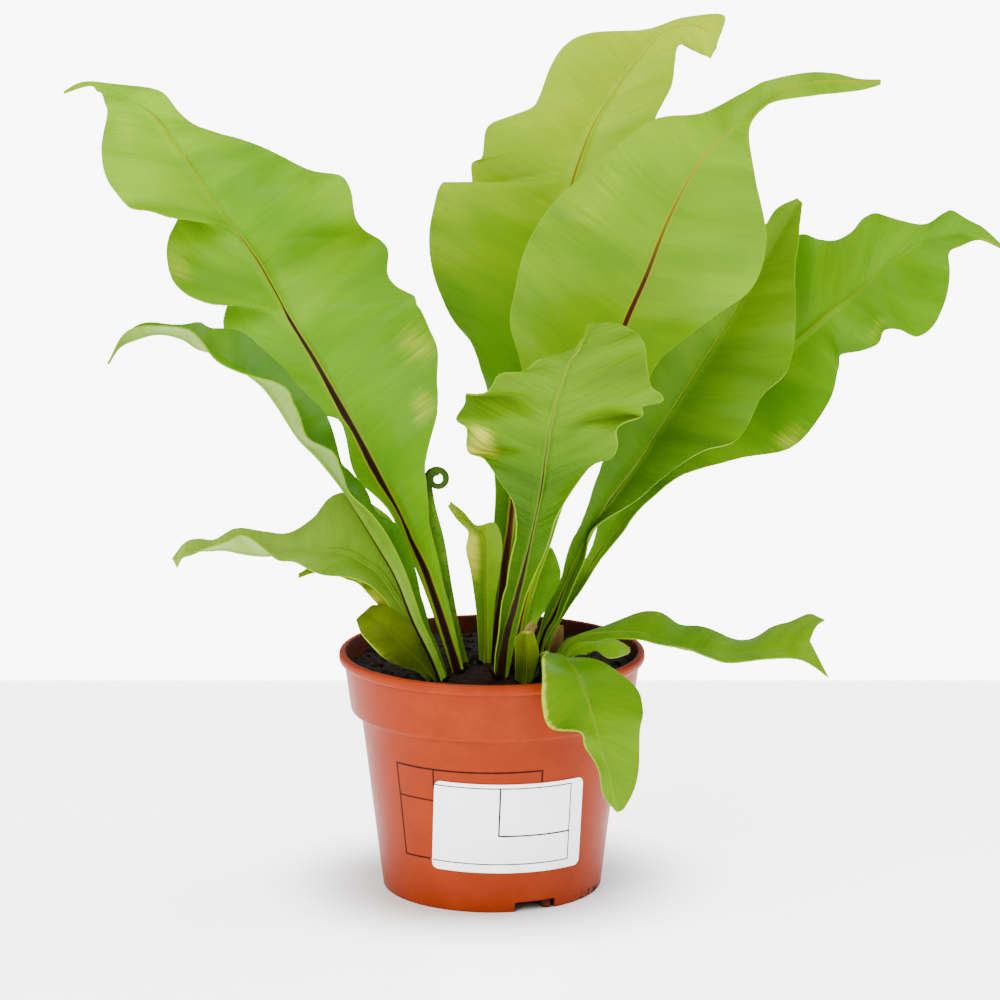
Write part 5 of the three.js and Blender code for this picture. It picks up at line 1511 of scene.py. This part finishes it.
def make_bed():
    top = COLLAR_TOP_RADIUS - WALL - 0.6
    profile = [
        (wall_radius(FLOOR_TOP) - WALL - 0.9, FLOOR_TOP + 0.3),
        (WAIST_RADIUS - WALL - 0.3, WAIST_HEIGHT - 0.5),
        (COLLAR_FOOT_RADIUS - WALL - 0.3, COLLAR_FOOT_HEIGHT + 1.6),
        (top, COMPOST_LEVEL - 1.2),
        *[(top - 0.7 - 1.7 * k, COMPOST_LEVEL) for k in range(31)],
    ]
    return turned(profile, (0, 0), 120, bed_wobble)


def one_crumb(rng):
    bpy.ops.object.select_all(action="DESELECT")
    bpy.ops.mesh.primitive_ico_sphere_add(subdivisions=1, radius=1)
    crumb = bpy.context.object
    for vertex in crumb.data.vertices:
        vertex.co *= rng.uniform(0.6, 1.15)
    return crumb


def scattered(patterns, spots, rng):
    """Copies of the patterns at each (place, size, flatness), turned at random and joined."""
    copies = []
    for spot, size, stretch in spots:
        source = rng.choice(patterns)
        turn = Matrix.Rotation(rng.uniform(0, 6.28), 4, "Z") @ Matrix.Rotation(rng.uniform(-0.6, 0.6), 4, "X")
        scaled = Matrix.Diagonal((*[size * k * MM for k in stretch], 1))
        copies.append(copied(source, Matrix.Translation(spot) @ turn @ scaled))
    whole = join(copies)
    for source in patterns:
        bpy.data.objects.remove(source)
    return whole


def crumb_spots(rng, count):
    spots = []
    while len(spots) < count:
        radius = BED_RADIUS * math.sqrt(rng.random())
        angle = rng.uniform(0, 2 * math.pi)
        x, y = radius * math.sin(angle), -radius * math.cos(angle)
        if math.hypot(x - CROWN_X, y - CROWN_Y) < CROWN_RADIUS - 3:
            continue
        size = rng.uniform(0.5, 1.0) if rng.random() < 0.75 else rng.uniform(1.0, 2.1)
        stretch = (1.0, rng.uniform(0.6, 1.0), rng.uniform(0.45, 0.8))
        if rng.random() < 0.12:
            stretch = (2.6, 0.5, 0.4)
        reach = size * max(stretch)
        if radius + reach > BED_EDGE:
            continue
        spots.append((place(x, y, bed_height(x, y) + size * 0.2), size, stretch))
    return spots


rng = random.Random(BED_SEED)
bed = make_bed()
crumbs = scattered([one_crumb(rng) for _ in range(CRUMB_SHAPES)], crumb_spots(rng, CRUMB_COUNT), rng)
bed = join([bed, crumbs])
settle(bed, 50)
dress(bed, "compost_bed", compost_material(), ("compost",))


def crown_material():
    material, tree, sockets, where = new_material("scaly_crown")
    fibre = noise(tree, where, 600.0, 4.0, 0.6)
    body = blended(tree, eased(tree, fibre, 0.35, 0.7), srgb(6, 4, 3), srgb(34, 16, 9))
    surface(tree, sockets, body, plus(tree, times(tree, fibre, 0.3), 0.5), fibre, 0.7, 0.001)
    sockets["Specular IOR Level"].default_value = FAINT_SHINE
    return material


def crown_top(x, y):
    """Height of the crown's mound in millimetres."""
    off = math.hypot(x - CROWN_X, y - CROWN_Y) / CROWN_RADIUS
    return CROWN_TOP - 5 * min(1.0, off) ** 3


def make_crown():
    profile = [(CROWN_RADIUS * 0.45, 70), (CROWN_RADIUS * 0.82, 75), (CROWN_RADIUS, 80)]
    profile += [(CROWN_RADIUS * k, crown_top(CROWN_X + CROWN_RADIUS * k, CROWN_Y)) for k in
                (1.0, 0.92, 0.84, 0.76, 0.66, 0.56, 0.46, 0.36, 0.26, 0.16, 0.06)]

    def knobbly(spot):
        x, y = (spot.x - POT_X) / MM, (spot.y - POT_Y) / MM
        if spot.z / MM < 82:
            return Vector((0, 0, 0))
        return Vector((0, 0, 0.5 * math.sin(x * 1.1 + 0.5 * y) * math.sin(y * 1.3) * MM))

    return turned(profile, (CROWN_X, CROWN_Y), 72, knobbly)


def one_scale():
    """A narrow pointed scale that stands on its foot and curls over."""
    scale = new_grid(2, 5)
    for vertex in scale.data.vertices:
        side, up = vertex.co.x * 2, vertex.co.y + 0.5
        width = 0.28 * math.sin(math.pi * (0.12 + 0.86 * up)) + 0.01
        vertex.co = Vector((side * width, 0.35 * up ** 2 - 0.1 * abs(side) * width, up))
    thicken(scale, 0.05 / MM)
    apply_modifiers(scale)
    return scale


def scale_ring(rng):
    """Scales round every stalk, each leaning away from it."""
    pattern = one_scale()
    copies = []
    stalks = [(frond["rows"][0][0], frond["rows"][1][0], frond["rib"]) for frond in FRONDS[:-2]]
    stalks.append((CROZIER_STEM[0], CROZIER_STEM[1], CROZIER_ROOT))
    for root, knee, rib in stalks:
        for _ in range(SCALES_A_STALK):
            up = rng.uniform(8.5, 11.5)
            share = up / (knee[2] - root[2])
            x = root[0] + (knee[0] - root[0]) * share
            y = root[1] + (knee[1] - root[1]) * share
            angle = rng.uniform(0, 2 * math.pi)
            away = Vector((math.sin(angle), -math.cos(angle), 0))
            spot = place(x, y, crown_top(x, y) - 0.6) + away * ((rib + rng.uniform(0.6, 1.6)) * MM)
            size = rng.uniform(2.6, 5.2) * MM
            facing = Matrix.Rotation(math.atan2(away.y, away.x) - math.pi / 2, 4, "Z")
            lean = Matrix.Rotation(-rng.uniform(0.1, 0.7), 4, "X")
            scaled = Matrix.Diagonal((size, size, size, 1))
            copies.append(copied(pattern, Matrix.Translation(spot) @ facing @ lean @ scaled))
    bpy.data.objects.remove(pattern)
    return join(copies)


crown = join([make_crown(), scale_ring(rng)])
settle(crown, 50)
dress(crown, "crown_mound", crown_material(), ("crown",))


# The stage and the light: the floor glows with painted light, dimmed to a painted shadow under and beside the
# pot, by metres from the pot's axis
FLOOR_PAINTED_SHADOW = (0.043, 0.1)
FLOOR_PAINTED_GLOW = 3.4
FLOOR_MIDDLE = -1377
FLOOR_SIZE = (5, 3.4, 1)
ROOM_TONE = (0.97, 0.985, 1.0, 1)
ROOM_LIGHT = 0.6
ROOM_SEEN = 9.0
# name, place, what it is aimed at, size, power, tone
SOFTBOXES = [
    ("front_left", (-1100, -1500, 1300), (0, 0, 150), 1.4, 76, (1.0, 0.985, 0.96)),
    ("window_right", (1300, 500, 1300), (0, 0, 200), 1.1, 50, (0.9, 0.96, 1.0)),
    ("top_soft", (-100, -200, 1800), (0, 0, 100), 1.4, 22, (1, 1, 1)),
]


def floor_material():
    """A plain pale surface that glows softly with painted light, as if lit from all round, and less so beside
    the pot as a painted shadow.
    """
    material, tree, sockets, where = new_material("pale_floor")
    sockets["Base Color"].default_value = srgb(240, 240, 240)
    sockets["Roughness"].default_value = 0.25
    radius = length_of(tree, round_pot(tree, where))
    # painted shadow: the glow fades out towards the pot's axis
    glow = eased(tree, radius, *FLOOR_PAINTED_SHADOW)
    tinted = node(tree, "ShaderNodeCombineXYZ", {0: glow, 1: glow, 2: glow})
    tree.links.new(tinted.outputs[0], sockets["Emission Color"])
    sockets["Emission Strength"].default_value = FLOOR_PAINTED_GLOW
    return material


bpy.ops.object.select_all(action="DESELECT")
bpy.ops.mesh.primitive_plane_add(size=1, location=place(0, FLOOR_MIDDLE, 0))
pale_floor = bpy.context.object
pale_floor.scale = FLOOR_SIZE
pick_only(pale_floor)
bpy.ops.object.transform_apply(location=True, rotation=True, scale=True)
pale_floor.name = "pale_floor"
pale_floor.data.materials.append(floor_material())

world = bpy.data.worlds.new("soft_room")
world.use_nodes = True
backdrop = world.node_tree.nodes["Background"]
backdrop.inputs[0].default_value = ROOM_TONE
seen = world.node_tree.nodes.new("ShaderNodeLightPath").outputs["Is Camera Ray"]
strength = world.node_tree.nodes.new("ShaderNodeMapRange")
strength.inputs["To Min"].default_value = ROOM_LIGHT
strength.inputs["To Max"].default_value = ROOM_SEEN
world.node_tree.links.new(seen, strength.inputs["Value"])
world.node_tree.links.new(strength.outputs[0], backdrop.inputs[1])
bpy.context.scene.world = world

for name, spot, aim, size, power, colour in SOFTBOXES:
    light_data = bpy.data.lights.new(name, "AREA")
    light_data.shape = "RECTANGLE"
    light_data.size = size
    light_data.size_y = size
    light_data.energy = power
    light_data.color = colour
    light = bpy.data.objects.new(name, light_data)
    bpy.context.scene.collection.objects.link(light)
    light.location = place(*spot)
    light.rotation_euler = (place(*aim) - light.location).to_track_quat("-Z", "Y").to_euler()
